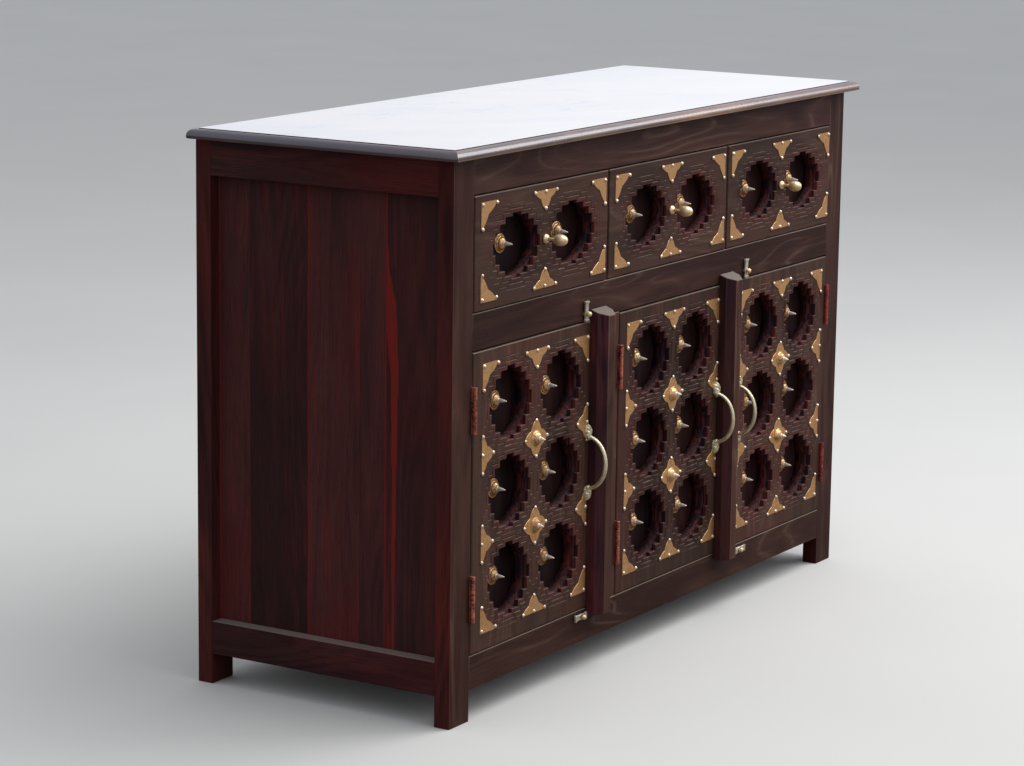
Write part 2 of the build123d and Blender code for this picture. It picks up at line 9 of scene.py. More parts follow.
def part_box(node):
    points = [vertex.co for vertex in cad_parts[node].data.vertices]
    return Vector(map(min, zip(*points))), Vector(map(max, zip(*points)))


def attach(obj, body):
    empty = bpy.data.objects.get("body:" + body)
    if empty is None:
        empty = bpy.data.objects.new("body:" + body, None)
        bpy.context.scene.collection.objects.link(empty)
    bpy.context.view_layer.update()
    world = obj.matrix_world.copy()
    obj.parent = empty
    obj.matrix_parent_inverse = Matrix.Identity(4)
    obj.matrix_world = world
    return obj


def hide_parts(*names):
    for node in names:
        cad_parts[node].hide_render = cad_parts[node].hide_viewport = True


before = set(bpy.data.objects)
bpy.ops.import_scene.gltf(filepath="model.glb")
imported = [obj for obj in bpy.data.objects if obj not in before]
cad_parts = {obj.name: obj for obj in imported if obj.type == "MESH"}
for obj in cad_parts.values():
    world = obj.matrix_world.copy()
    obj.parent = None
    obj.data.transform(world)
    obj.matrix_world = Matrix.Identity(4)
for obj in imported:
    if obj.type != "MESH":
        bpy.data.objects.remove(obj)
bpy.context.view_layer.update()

# Carcass frame ----------------------------------------------------------------
# Posts, rails and mullions of a dense dark hardwood, sawn, planed and joined with mortises
# and tenons. The arrises were broken by hand and have worn paler than the faces, with a
# painted sheen where they face up. The front faces carry greyer colours than the red sides:
# a painted reflection of the pale sky.

MM = 0.001


def seen(red, green, blue):
    """A colour written as a screen shows it, for a shader socket."""
    parts = [value / 255 for value in (red, green, blue)]
    linear = [p / 12.92 if p < 0.04045 else ((p + 0.055) / 1.055) ** 2.4 for p in parts]
    return (*linear, 1.0)


def add_node(tree, kind, inputs=None, **settings):
    """A node with its settings; each input takes a socket that feeds it or a fixed value."""
    made = tree.nodes.new(kind)
    for name, value in settings.items():
        setattr(made, name, value)
    for name, value in (inputs or {}).items():
        if isinstance(value, bpy.types.NodeSocket):
            tree.links.new(value, made.inputs[name])
        else:
            made.inputs[name].default_value = value
    return made


def mixed(tree, factor, first, second, blend="MIX"):
    """Two colours mixed by a factor."""
    inputs = {0: factor, 6: first, 7: second}
    return add_node(tree, "ShaderNodeMix", inputs, data_type="RGBA", blend_type=blend).outputs[2]


def ranged(tree, value, low, high, to_low=0.0, to_high=1.0):
    """A value spread from one range to another, and held at the ends."""
    inputs = {"Value": value, "From Min": low, "From Max": high}
    inputs.update({"To Min": to_low, "To Max": to_high})
    return add_node(tree, "ShaderNodeMapRange", inputs).outputs[0]


def reckoned(tree, operation, first, second=0.0):
    """The result of a sum on one or two values."""
    return add_node(tree, "ShaderNodeMath", {0: first, 1: second}, operation=operation).outputs[0]


def product(tree, *values):
    """Values multiplied one after the other."""
    total = values[0]
    for value in values[1:]:
        total = reckoned(tree, "MULTIPLY", total, value)
    return total


def stretched_noise(tree, vector, stretch, scale, detail=3.0, distortion=0.0):
    """Noise that is drawn out or squeezed along each axis."""
    drawn = add_node(tree, "ShaderNodeVectorMath", {0: vector, 1: stretch}, operation="MULTIPLY")
    inputs = {"Vector": drawn.outputs[0], "Scale": scale, "Detail": detail}
    inputs["Distortion"] = distortion
    return add_node(tree, "ShaderNodeTexNoise", inputs).outputs[0]


def attribute(tree, name):
    """A value that the mesh carries."""
    return add_node(tree, "ShaderNodeAttribute", attribute_name=name).outputs["Fac"]


def facing_up(tree):
    """How far the surface looks upward: 1 on a top and 0 on a wall."""
    normal = add_node(tree, "ShaderNodeNewGeometry").outputs["Normal"]
    return add_node(tree, "ShaderNodeSeparateXYZ", {0: normal}).outputs[2]


def own_place(tree):
    """The place on the object itself, so that a pattern moves along with it."""
    return add_node(tree, "ShaderNodeTexCoord").outputs["Object"]


def new_group(name, inputs):
    """An empty shader group for a surface, with its input and output sockets."""
    tree = bpy.data.node_groups.new(name, "ShaderNodeTree")
    outputs = [("Color", "Color"), ("Roughness", "Float"), ("Height", "Float")]
    for direction, sockets in (("INPUT", [("Vector", "Vector")] + inputs), ("OUTPUT", outputs)):
        for label, kind in sockets:
            tree.interface.new_socket(label, in_out=direction, socket_type="NodeSocket" + kind)
    given = tree.nodes.new("NodeGroupInput").outputs
    result = tree.nodes.new("NodeGroupOutput").inputs
    return tree, given, result


BOARD_SHIFT = (1.7, 0.9, 2.3)
PORE_COLOUR = (0.004, 0.003, 0.003, 1)


def make_wood_group():
    """Sawn wood whose fibres run along the vector's Z axis.

    Reads two attributes of the mesh: board, a number that sets boards apart, and worn,
    which is 1 on arrises and rims. Arrises turn paler, more where they face up, and faces that
    look up turn pale grey: wear and dust, with a painted sheen on what faces up.
    """
    colours = [(label, "Color") for label in ("Body", "Heart", "Streak", "Worn")]
    tree, given, result = new_group("wood_surface", colours + [("Dust", "Float")])
    board = attribute(tree, "board")
    worn = attribute(tree, "worn")
    shift = {0: BOARD_SHIFT, "Scale": board}
    shifted = add_node(tree, "ShaderNodeVectorMath", shift, operation="SCALE")
    placed = add_node(tree, "ShaderNodeVectorMath", {0: given["Vector"], 1: shifted.outputs[0]})
    vector = placed.outputs[0]
    bands = stretched_noise(tree, vector, (1, 1, 0.08), 26, 4.0, 0.8)
    lines = stretched_noise(tree, vector, (1, 1, 0.03), 210, 3.0, 0.4)
    fibres = stretched_noise(tree, vector, (1, 1, 0.02), 900, 2.0)
    pores = ranged(tree, stretched_noise(tree, vector, (1, 1, 0.04), 1300, 1.0), 0.62, 0.74)
    patches = stretched_noise(tree, vector, (1, 1, 0.5), 7, 3.0)
    rings = product(tree, stretched_noise(tree, vector, (1, 1, 0.14), 9, 1.5, 0.3), 90)
    rings = reckoned(tree, "SINE", rings)
    growth_lines = ranged(tree, rings, 0.8, 1.0, 0.0, 0.14)
    rings = ranged(tree, rings, -1.0, 1.0, -0.09, 0.09)
    own = add_node(tree, "ShaderNodeTexWhiteNoise", {"W": board}, noise_dimensions="1D").outputs[0]
    grown = reckoned(tree, "ADD", bands, ranged(tree, own, 0.0, 1.0, -0.1, 0.1))
    grown = ranged(tree, reckoned(tree, "ADD", grown, rings), 0.36, 0.62)
    colour = mixed(tree, grown, given["Heart"], given["Body"])
    blush = ranged(tree, stretched_noise(tree, vector, (1, 1, 0.4), 5, 2.0), 0.5, 0.68, 0.0, 0.5)
    colour = mixed(tree, blush, colour, given["Streak"])
    growth_lines = product(tree, growth_lines, ranged(tree, patches, 0.5, 0.62))
    colour = mixed(tree, growth_lines, colour, given["Worn"])
    streaks = product(tree, ranged(tree, lines, 0.5, 0.72), ranged(tree, patches, 0.4, 0.65))
    colour = mixed(tree, streaks, colour, given["Streak"])
    tone = ranged(tree, reckoned(tree, "ADD", fibres, patches), 0.7, 1.3, 0.72, 1.22)
    tone = product(tree, tone, ranged(tree, own, 0.0, 1.0, 0.86, 1.14))
    tint = add_node(tree, "ShaderNodeCombineColor", {"Red": tone, "Green": tone, "Blue": tone})
    colour = mixed(tree, 1.0, colour, tint.outputs[0], "MULTIPLY")
    colour = mixed(tree, product(tree, pores, 0.55), colour, PORE_COLOUR)
    upward = facing_up(tree)
    # arrises turn toward the Worn colour, more where they face up: wear and a painted sheen
    wear_and_sheen = product(
        tree, worn, ranged(tree, patches, 0.3, 0.6, 0.5, 1.0),
        ranged(tree, lines, 0.3, 0.6, 0.7, 1.0), ranged(tree, upward, 0.0, 0.5, 0.2, 1.0),
    )
    colour = mixed(tree, wear_and_sheen, colour, given["Worn"])
    # faces that look up turn pale grey: settled dust and a painted sheen
    dust_and_sheen = product(tree, ranged(tree, upward, 0.3, 0.9), given["Dust"])
    colour = mixed(tree, dust_and_sheen, colour, seen(150, 140, 132))
    tree.links.new(colour, result["Color"])
    rough = ranged(tree, reckoned(tree, "ADD", lines, patches), 0.7, 1.3, 0.34, 0.56)
    tree.links.new(reckoned(tree, "ADD", rough, dust_and_sheen), result["Roughness"])
    height = reckoned(tree, "SUBTRACT", reckoned(tree, "ADD", fibres, bands), pores)
    tree.links.new(height, result["Height"])
    return tree


wood_group = make_wood_group()
# how each grain is turned, so that the fibres of the group run along it
GRAIN_TURNS = {"X": (0, math.pi / 2, 0), "Y": (math.pi / 2, 0, 0), "Z": (0, 0, 0)}


def new_material(name):
    """A material with its node tree and its surface shader."""
    material = bpy.data.materials.new(name)
    material.use_nodes = True
    tree = material.node_tree
    return material, tree, tree.nodes["Principled BSDF"]


def add_bump(tree, surface, height, strength, relief):
    """Roughens a surface by a height; relief is given in millimetres."""
    inputs = {"Height": height, "Strength": strength, "Distance": relief * MM}
    bump = add_node(tree, "ShaderNodeBump", inputs)
    tree.links.new(bump.outputs[0], surface.inputs["Normal"])


def drawn_by(group, name, inputs, shading, grain="Z", strength=0.5, relief=0.12):
    """A material whose colour, roughness and height come from a shader group."""
    material, tree, surface = new_material(name)
    turn = {"Vector": own_place(tree), "Rotation": GRAIN_TURNS[grain]}
    vector = add_node(tree, "ShaderNodeMapping", turn).outputs[0]
    inputs = {"Vector": vector, **inputs}
    figure = add_node(tree, "ShaderNodeGroup", inputs, node_tree=group).outputs
    tree.links.new(figure["Color"], surface.inputs["Base Color"])
    tree.links.new(figure["Roughness"], surface.inputs["Roughness"])
    add_bump(tree, surface, figure["Height"], strength, relief)
    for label, value in shading.items():
        surface.inputs[label].default_value = value
    return material


def wood(name, grain, body, heart, streak, worn, dust=0.3, shine=0.1):
    """A wood with its grain along one axis and its own colours."""
    colours = {"Body": body, "Heart": heart, "Streak": streak, "Worn": worn}
    inputs = {label: seen(*colour) for label, colour in colours.items()}
    inputs["Dust"] = dust
    return drawn_by(wood_group, name, inputs, {"Specular IOR Level": shine}, grain)


# the front colours are greyer than the side colours: a painted reflection of the pale sky on faces
# that look to the front
front_colours_with_sheen = dict(
    body=(76, 50, 42), heart=(54, 32, 27), streak=(92, 42, 38), worn=(150, 128, 112)
)
side_colours = dict(
    body=(74, 39, 37), heart=(46, 27, 28), streak=(104, 36, 33), worn=(84, 48, 42)
)
frame_colours = dict(front_colours_with_sheen, streak=(78, 49, 42))
front_upright = wood("front_upright_wood", "Z", **frame_colours)
front_level = wood("front_level_wood", "X", **frame_colours)
rail_colours = dict(side_colours, body=(67, 41, 41), heart=(46, 30, 33))
side_level = wood("side_level_wood", "Y", dust=0.55, shine=0.05, **rail_colours)


def add_object(name, data):
    """An object put into the scene."""
    made = bpy.data.objects.new(name, data)
    bpy.context.scene.collection.objects.link(made)
    return made


def mesh_in_metres(name, bm):
    """Turns a bmesh in millimetres into a mesh."""
    bmesh.ops.scale(bm, vec=(MM, MM, MM), verts=bm.verts)
    mesh = bpy.data.meshes.new(name)
    bm.to_mesh(mesh)
    bm.free()
    return mesh


def finish_piece(name, bm, materials, body, replaced):
    """Makes a bmesh in millimetres into a named piece that rides on a body."""
    piece = add_object(name, mesh_in_metres(name, bm))
    for material in materials:
        piece.data.materials.append(material)
    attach(piece, body)
    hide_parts(replaced)


def merged_copy(node):
    """The mesh of a CAD node as a bmesh in millimetres, its flat faces made whole."""
    bm = bmesh.new()
    bm.from_mesh(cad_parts[node].data)
    bmesh.ops.scale(bm, vec=(1000, 1000, 1000), verts=bm.verts)
    bmesh.ops.remove_doubles(bm, verts=bm.verts, dist=0.002)
    bmesh.ops.dissolve_limit(bm, angle_limit=math.radians(0.5), verts=bm.verts, edges=bm.edges)
    return bm


def outer_edges(bm):
    """The edges of a board that lie along the edges of its box."""
    spots = [vertex.co for vertex in bm.verts]
    limits = [(min(s[a] for s in spots), max(s[a] for s in spots)) for a in range(3)]
    found = []
    for edge in bm.edges:
        planes = 0
        for axis, pair in enumerate(limits):
            for limit in pair:
                planes += all(abs(v.co[axis] - limit) < 0.01 for v in edge.verts)
        if planes > 1:
            found.append(edge)
    return found


def face_layer(bm, label):
    """A layer of numbers on faces, made where it is missing."""
    return bm.faces.layers.float.get(label) or bm.faces.layers.float.new(label)


def ease(bm, edges, width):
    """Rounds edges and marks the new faces as worn."""
    worn = face_layer(bm, "worn")
    rounded = bmesh.ops.bevel(
        bm, geom=edges, offset=width, offset_type="OFFSET", segments=2, profile=0.5,
        affect="EDGES", clamp_overlap=True,
    )
    for face in rounded["faces"]:
        face[worn] = 1.0
        face.smooth = True


def set_apart(bm, number):
    """Gives all faces of a board its own number, so that its figure differs."""
    board = face_layer(bm, "board")
    for face in bm.faces:
        face[board] = number


def eased_board(node, materials, width, number):
    """A board of the carcass with broken arrises; a second material may give its flanks the red
    side colours, without the painted reflection of the front colours.
    """
    bm = merged_copy(node)
    ease(bm, outer_edges(bm), width)
    set_apart(bm, number)
    bm.normal_update()
    for face in bm.faces:
        face.material_index = int(len(materials) > 1 and abs(face.normal.x) > 0.8)
    finish_piece(node + "_board", bm, materials, "carcass", node)


side_upright = wood("side_upright_wood", "Z", shine=0.05, **side_colours)
for nodes, materials, width, number in (
    (("front_post_left", "front_post_right"), [front_upright, side_upright], 1.4, 0.13),
    (("mullion_wide", "mullion_narrow"), [front_upright], 1.0, 0.37),
    (("front_rail_bottom", "front_rail_middle", "front_rail_frieze"), [front_level], 1.3, 0.51),
    (("back_post_left", "back_post_right"), [side_upright], 1.2, 0.67),
    (("side_rail_upper_left", "side_rail_upper_right"), [side_level], 1.2, 0.83),
    (("side_rail_lower_left", "side_rail_lower_right"), [side_level], 1.2, 2.83),
):
    for place, node in enumerate(nodes):
        eased_board(node, materials, width, number + place)

# Side panels ------------------------------------------------------------------
# Each side is a panel of five upright boards of the same hardwood, glued edge to edge and
# held loosely in grooves of the posts and rails. One joint shows a streak of sapwood.

BOARD_JOINTS = (-85.0, -38.0, 60.0, 172.0)
SAPPY_EDGES = (-85.0, 60.0, 231.0)
SAPPY_REACH = (1.0, 1.6)
JOINT_WIDTH = 0.5
PANEL_STEPS = 60
SAP_GRID = 1.5
# height, and where the streak starts and ends beyond the first joint
SAP_COURSE = (
    (860, 0, 2), (740, 0, 3), (700, 0, 7), (650, 0, 18), (600, 2, 22),
    (540, 9, 23), (400, 12, 21), (250, 13, 19), (90, 15, 18),
)


def sapwood(y, z):
    """How much of the streak and of the sappy edges of the boards shows at a place."""
    if min(abs(y - edge) for edge in SAPPY_EDGES) <= SAPPY_REACH[0]:
        return 0.8
    beyond = BOARD_JOINTS[0] - y
    for (high, *upper), (low, *lower) in zip(SAP_COURSE, SAP_COURSE[1:]):
        if low <= z <= high:
            share = (z - low) / (high - low)
            near, far = (b + (a - b) * share for a, b in zip(upper, lower))
            if near < beyond < far:
                return 1.0
            return 0.3 if 0 < beyond <= near else 0.0
    return 0.0


def side_boards(node, number):
    """A panel of glued boards, with fine grooves at the joints on its outer face."""
    low, high = (corner * 1000 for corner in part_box(node))
    outward = 1 if high.x > 0 else -1
    outer, inner = (high.x, low.x) if outward > 0 else (low.x, high.x)
    cuts = [low.y, high.y]
    for joint in BOARD_JOINTS:
        cuts += [joint - JOINT_WIDTH, joint, joint + JOINT_WIDTH]
    for edge in SAPPY_EDGES:
        cuts += [edge + side * reach for side in (-1, 1) for reach in SAPPY_REACH]
    cuts += [BOARD_JOINTS[0] - SAP_GRID * step for step in range(2, 20)]
    cuts.sort()
    bm = bmesh.new()
    board = face_layer(bm, "board")
    worn = face_layer(bm, "worn")
    sap = bm.verts.layers.float.new("sapwood")
    rows = []
    for step in range(PANEL_STEPS + 1):
        z = low.z + (high.z - low.z) * step / PANEL_STEPS
        row = []
        for y in cuts:
            sunk = JOINT_WIDTH if y in BOARD_JOINTS else 0.0
            corner = bm.verts.new((outer - outward * sunk, y, z))
            corner[sap] = sapwood(y, z)
            row.append(corner)
        rows.append(row)
    for below, above in zip(rows, rows[1:]):
        for place in range(len(cuts) - 1):
            corners = (below[place], below[place + 1], above[place + 1], above[place])
            face = bm.faces.new(corners)
            middle = (cuts[place] + cuts[place + 1]) / 2
            face[board] = number + 0.61 * sum(middle > joint for joint in BOARD_JOINTS)
            face[worn] = 0.0
    back = [bm.verts.new((inner, y, z)) for z in (low.z, high.z) for y in (low.y, high.y)]
    bm.faces.new((back[0], back[2], back[3], back[1]))
    bm.faces.new([back[0], back[1]] + rows[0][::-1])
    bm.faces.new([back[3], back[2]] + rows[-1])
    bm.faces.new([back[2], back[0]] + [row[0] for row in rows])
    bm.faces.new([back[1], back[3]] + [row[-1] for row in rows[::-1]])
    bmesh.ops.recalc_face_normals(bm, faces=bm.faces)
    finish_piece(node + "_boards", bm, [panel_wood], "carcass", node)


def base_colour(material):
    """The tree of a material, the socket of its colour, and what feeds that so far."""
    tree = material.node_tree
    base = tree.nodes["Principled BSDF"].inputs["Base Color"]
    return tree, base, base.links[0].from_socket


def add_sapwood(material, colour):
    """Lays the redder streak over a wood, with a ragged edge along the grain."""
    tree, base, plain = base_colour(material)
    ragged = stretched_noise(tree, tree.nodes["Mapping"].outputs[0], (1, 1, 0.03), 300, 4.0)
    total = reckoned(tree, "ADD", attribute(tree, "sapwood"), ragged)
    streak = ranged(tree, total, 0.7, 1.4, 0.0, 0.66)
    tree.links.new(mixed(tree, streak, plain, colour), base)


panel_colours = dict(side_colours, heart=(60, 38, 39), body=(76, 43, 43))
panel_wood = wood("side_panel_wood", "Z", shine=0.05, **panel_colours)
add_sapwood(panel_wood, seen(140, 40, 34))
for number, node in enumerate(("side_panel_left", "side_panel_right")):
    side_boards(node, 0.2 + 2.3 * number)

# Inner boards and back --------------------------------------------------------
# Plain boards of a lighter hardwood, not oiled: the shelf between drawers and cupboards, the
# cupboard floor, the dividers, and the back panel in the grooves of its frame.

inner_colours = dict(
    body=(120, 92, 70), heart=(96, 70, 54), streak=(136, 98, 72), worn=(148, 120, 96)
)
inner_level = wood("inner_level_wood", "X", dust=0.1, **inner_colours)
inner_deep = wood("inner_deep_wood", "Y", dust=0.1, **inner_colours)
inner_upright = wood("inner_upright_wood", "Z", dust=0.1, **inner_colours)


def paint(node, material):
    """Gives a CAD node that stays as it is a material of its own."""
    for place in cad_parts[node].material_slots:
        place.material = material


for node in ("drawer_deck", "floor_board", "sub_top"):
    paint(node, inner_level)
paint("drawer_guides", inner_deep)
for node in ("partition_left", "partition_right"):
    paint(node, inner_upright)
eased_board("back_panel", [inner_level], 0.6, 1.9)
paint("back_rails", wood("back_level_wood", "X", shine=0.05, **side_colours))

# Top edging -------------------------------------------------------------------
# Four lengths of moulding with a full round on the upper arris, mitred at the corners and
# pinned down over the carcass, a little lower than the slab. Their varnish is thick and shines.

TOP_X = 684.0
TOP_Y = (-240.75, 263.25)
TOP_Z = (883.0, 900.0)
EDGING_WIDTH = 36.0
EDGING_LIP = 13.0
EDGING_ROUND = 11.0
EDGING_SUNK = 1.3
MITRE_GAP = 0.12
VARNISH = {"Coat Weight": 1.0, "Coat Roughness": 0.22, "Coat IOR": 1.9}
LEDGE_Z = 888.0


def edging_section():
    """Points (in from the outer face, height) round the section of the moulding."""
    low, high = TOP_Z[0], TOP_Z[1] - EDGING_SUNK
    points = [(EDGING_WIDTH, low), (2.5, low), (0.8, low + 0.6), (0.0, low + 2.5)]
    middle = (EDGING_ROUND, high - EDGING_ROUND)
    for step in range(13):
        turn = math.pi / 2 * step / 12
        points.append((
            middle[0] - EDGING_ROUND * math.cos(turn), middle[1] + EDGING_ROUND * math.sin(turn)
        ))
    points += [(EDGING_LIP - 0.5, high), (EDGING_LIP, high - 0.5)]
    points += [(EDGING_LIP, LEDGE_Z), (EDGING_WIDTH, LEDGE_Z)]
    return points


def add_strip_of_rings(bm, rings):
    """Skins closed rings of points one to the next, and closes both ends."""
    made = [[bm.verts.new(point) for point in ring] for ring in rings]
    for near, far in zip(made, made[1:]):
        for place in range(len(near)):
            after = (place + 1) % len(near)
            bm.faces.new((near[place], near[after], far[after], far[place])).smooth = True
    bm.faces.new(made[0][::-1])
    bm.faces.new(made[-1])
    return made


def keep_sharp(bm, angle=35):
    """Smooth shading that stays crisp at edges past an angle."""
    bm.normal_update()
    for face in bm.faces:
        face.smooth = True
    for edge in bm.edges:
        if len(edge.link_faces) == 2:
            edge.smooth = edge.calc_face_angle() < math.radians(angle)


def add_edging(bm, reach, half_length, turn, middle):
    """One mitred length, its outer face at -Y before it is turned into place."""
    rings = []
    for end in (-1, 1):
        rings.append([
            (end * (half_length - inward - MITRE_GAP), -reach + inward, height)
            for inward, height in edging_section()
        ])
    corners = sum(add_strip_of_rings(bm, rings), [])
    placing = Matrix.Translation((0, middle, 0)) @ Matrix.Rotation(turn, 4, "Z")
    bmesh.ops.transform(bm, matrix=placing, verts=corners)


def varnished(material):
    """Lays a thick varnish over a wood."""
    surface = material.node_tree.nodes["Principled BSDF"]
    for label, value in VARNISH.items():
        surface.inputs[label].default_value = value
    return material


top_colours = dict(
    body=(112, 84, 66), heart=(84, 58, 44), streak=(142, 102, 70), worn=(216, 196, 168)
)
# the side lengths get darker colours than the front and back lengths: painted shade
shaded_end_colours = dict(
    top_colours, body=(54, 36, 32), heart=(38, 25, 24), streak=(78, 44, 36)
)
edging_level = varnished(wood("edging_level_wood", "X", dust=0.1, **top_colours))
edging_deep = varnished(wood("edging_deep_wood", "Y", dust=0.1, **shaded_end_colours))
top_middle = (TOP_Y[0] + TOP_Y[1]) / 2
top_half_depth = (TOP_Y[1] - TOP_Y[0]) / 2
for name, material, reach, half_length, turns in (
    ("edging_front_back", edging_level, top_half_depth, TOP_X, (0, 2)),
    ("edging_sides", edging_deep, TOP_X, top_half_depth, (1, 3)),
):
    bm = bmesh.new()
    for quarter in turns:
        add_edging(bm, reach, half_length, quarter * math.pi / 2, top_middle)
    keep_sharp(bm)
    bmesh.ops.recalc_face_normals(bm, faces=bm.faces)
    set_apart(bm, 3.1 + turns[0])
    worn = face_layer(bm, "worn")
    for face in bm.faces:
        # the low arris of the front and back lengths is marked worn, so it takes the pale cream
        # Worn colour: a painted reflection
        reflecting_low_arris = TOP_Z[0] + 0.2 < face.calc_center_median().z < TOP_Z[0] + 2.4
        face[worn] = 0.8 if reflecting_low_arris and turns[0] == 0 else 0.0
    finish_piece(name, bm, [material], "carcass", "top_mouldings")

# Marble slab ------------------------------------------------------------------
# A white marble slab, sawn, polished and let loosely into the edging, so that a thin gap runs
# round it; its dark look is painted shade on the slab's edges. Its veins are faint and blue-grey.

VEIN_TURN = (0.0, 0.0, 0.5)


def make_marble():
    """White marble with faint veins; faces that do not look up are painted dark brown, a painted
    shade for the gap round the slab.
    """
    material, tree, surface = new_material("polished_marble")
    turn = {"Vector": own_place(tree), "Rotation": VEIN_TURN}
    vector = add_node(tree, "ShaderNodeMapping", turn).outputs[0]
    clouds = stretched_noise(tree, vector, (1, 2.2, 1), 2.6, 5.0, 0.5)
    veins = stretched_noise(tree, vector, (1, 2.6, 1), 3.4, 6.0, 1.6)
    distance = reckoned(tree, "ABSOLUTE", reckoned(tree, "SUBTRACT", veins, 0.5))
    thin = ranged(tree, distance, 0.0, 0.016, 1.0, 0.0)
    broken = ranged(tree, stretched_noise(tree, vector, (1, 1, 1), 5.0, 2.0), 0.42, 0.62)
    colour = mixed(tree, ranged(tree, clouds, 0.4, 0.7), seen(232, 228, 220), seen(224, 222, 218))
    colour = mixed(tree, product(tree, thin, broken, 0.28), colour, seen(150, 160, 176))
    # faces that do not look up, the slab's edges, are painted dark brown: painted shade of the gap
    # round the slab
    colour = mixed(tree, ranged(tree, facing_up(tree), 0.5, 0.8), seen(62, 44, 38), colour)
    tree.links.new(colour, surface.inputs["Base Color"])
    grains = stretched_noise(tree, vector, (1, 1, 1), 900, 1.0)
    tree.links.new(ranged(tree, grains, 0.3, 0.7, 0.1, 0.2), surface.inputs["Roughness"])
    add_bump(tree, surface, grains, 0.1, 0.05)
    surface.inputs["Specular IOR Level"].default_value = 0.12
    return material


marble = make_marble()
slab = merged_copy("marble_slab")
ease(slab, outer_edges(slab), 0.8)
finish_piece("marble_top", slab, [marble], "carcass", "marble_slab")

# Door and drawer leaves ---------------------------------------------------------
# Thick leaves of the same hardwood, bored out in ovals whose lips were pared into stepped
# medallions. Two grooves are engraved round each, and rows of short cuts fill the rest.
# The floor of each medallion is a board behind the leaf.

FRONT_Y = -222.25
CARVED_BACK = -190.25
STEP_ANGLES = (10.0, 28.0, 45.0, 62.0, 80.0)
DOOR_MEDALLION = (63.0, 60.0)
DOOR_PITCH = (153.0, 141.0)
DRAWER_MEDALLION = (70.0, 52.0)
DRAWER_PITCH = (168.5, 0.0)
DOOR_CENTRES = ((-418.0, 347.7), (28.0, 347.7), (428.0, 347.7))
DRAWER_CENTRES = ((-399.0, 734.5), (9.15, 734.5), (412.15, 734.5))
SAW_SLIP = 0.4
LIP_BACK = -214.75
BORE_SIDES = 48
LEAF_EASE = 1.1
UPRIGHT_SHARE = 0.35
LEAF_TOP_EASE = 0.9
LEAF_TOP_GAP = 2.1
LEAF_FOOT_GAP = 1.4
DRAWER_SIDE_GAP = 1.3
# how near and how far from the medallions the rows of short cuts lie
FIELD_REACH = (10.0, 60.0)
# nearer than this the carving belongs to the rim of the steps
RIM_WIDTH = 1.0
# lines nearer than these to the eased edges or to one another are left out
EASE_CLEAR = 0.3
LEAST_STEP = 0.02
CUT_ROWS = {"Scale": 1.0, "Mortar Size": 0.00045, "Mortar Smooth": 0.6,
            "Brick Width": 0.017, "Row Height": 0.0085, "Bias": 0.0}
# how far out from the medallion's edge, and how deep, each line of the carving lies
CARVED_LINES = ((0.0, 0.8), (0.8, 0.0), (6.2, 0.0), (7.2, 1.0), (8.8, 0.0),
                (14.8, 0.0), (15.6, 0.5), (16.6, 0.0))


def sawn_sizes(radius, part, chance):
    """Half sizes of the steps along one axis, each side slipped a little by the saw."""
    sizes = []
    for angle in STEP_ANGLES:
        size = radius * part(math.radians(angle))
        sizes.append([size + chance.uniform(-SAW_SLIP, SAW_SLIP) for _ in range(2)])
    return sizes


def stepped_medallions(centres, radii, chance):
    """For each medallion nested rectangles (left, right, low, high) that make its steps."""
    across = {x: sawn_sizes(radii[0], math.cos, chance) for x in sorted({c[0] for c in centres})}
    upright = {z: sawn_sizes(radii[1], math.sin, chance) for z in sorted({c[1] for c in centres})}
    medallions = []
    for x, z in centres:
        steps = zip(across[x], upright[z])
        medallions.append([
            (x - sides[0], x + sides[1], z - ends[0], z + ends[1]) for sides, ends in steps
        ])
    return medallions


def step_distance(x, z, medallions):
    """How far a place lies outside the nearest medallion, and whether that is along X."""
    nearest = (1e9, False)
    for steps in medallions:
        for left, right, low, high in steps:
            across, up = max(left - x, x - right), max(low - z, z - high)
            nearest = min(nearest, (max(across, up), across > up))
    return nearest


def carved_depth(distance, upright):
    """The depth of the carving at a distance from a medallion; upright runs are faint."""
    if distance <= 0:
        return CARVED_LINES[0][1]
    strength = UPRIGHT_SHARE if upright and distance > RIM_WIDTH else 1.0
    for (near, deep), (far, shallow) in zip(CARVED_LINES, CARVED_LINES[1:]):
        if near - 1e-4 <= distance <= far:
            depth = deep + (shallow - deep) * (distance - near) / (far - near)
            return depth * strength
    return 0.0


def cutting_lines(limits, medallions, axis):
    """All places along one axis where the surface bends, without near doubles."""
    lines = []
    for steps in medallions:
        for rectangle in steps:
            low, high = rectangle[2 * axis:2 * axis + 2]
            for out, _ in CARVED_LINES:
                lines += [low - out, high + out]
    low, high = limits
    top = LEAF_TOP_EASE if axis else LEAF_EASE
    inner_low, inner_high = low + LEAF_EASE + EASE_CLEAR, high - top - EASE_CLEAR
    lines = [line for line in lines if inner_low < line < inner_high]
    lines += [low, low + LEAF_EASE, high - top, high]
    lines.sort()
    kept = [lines[0]]
    for line in lines[1:]:
        if line - kept[-1] > LEAST_STEP:
            kept.append(line)
    return kept


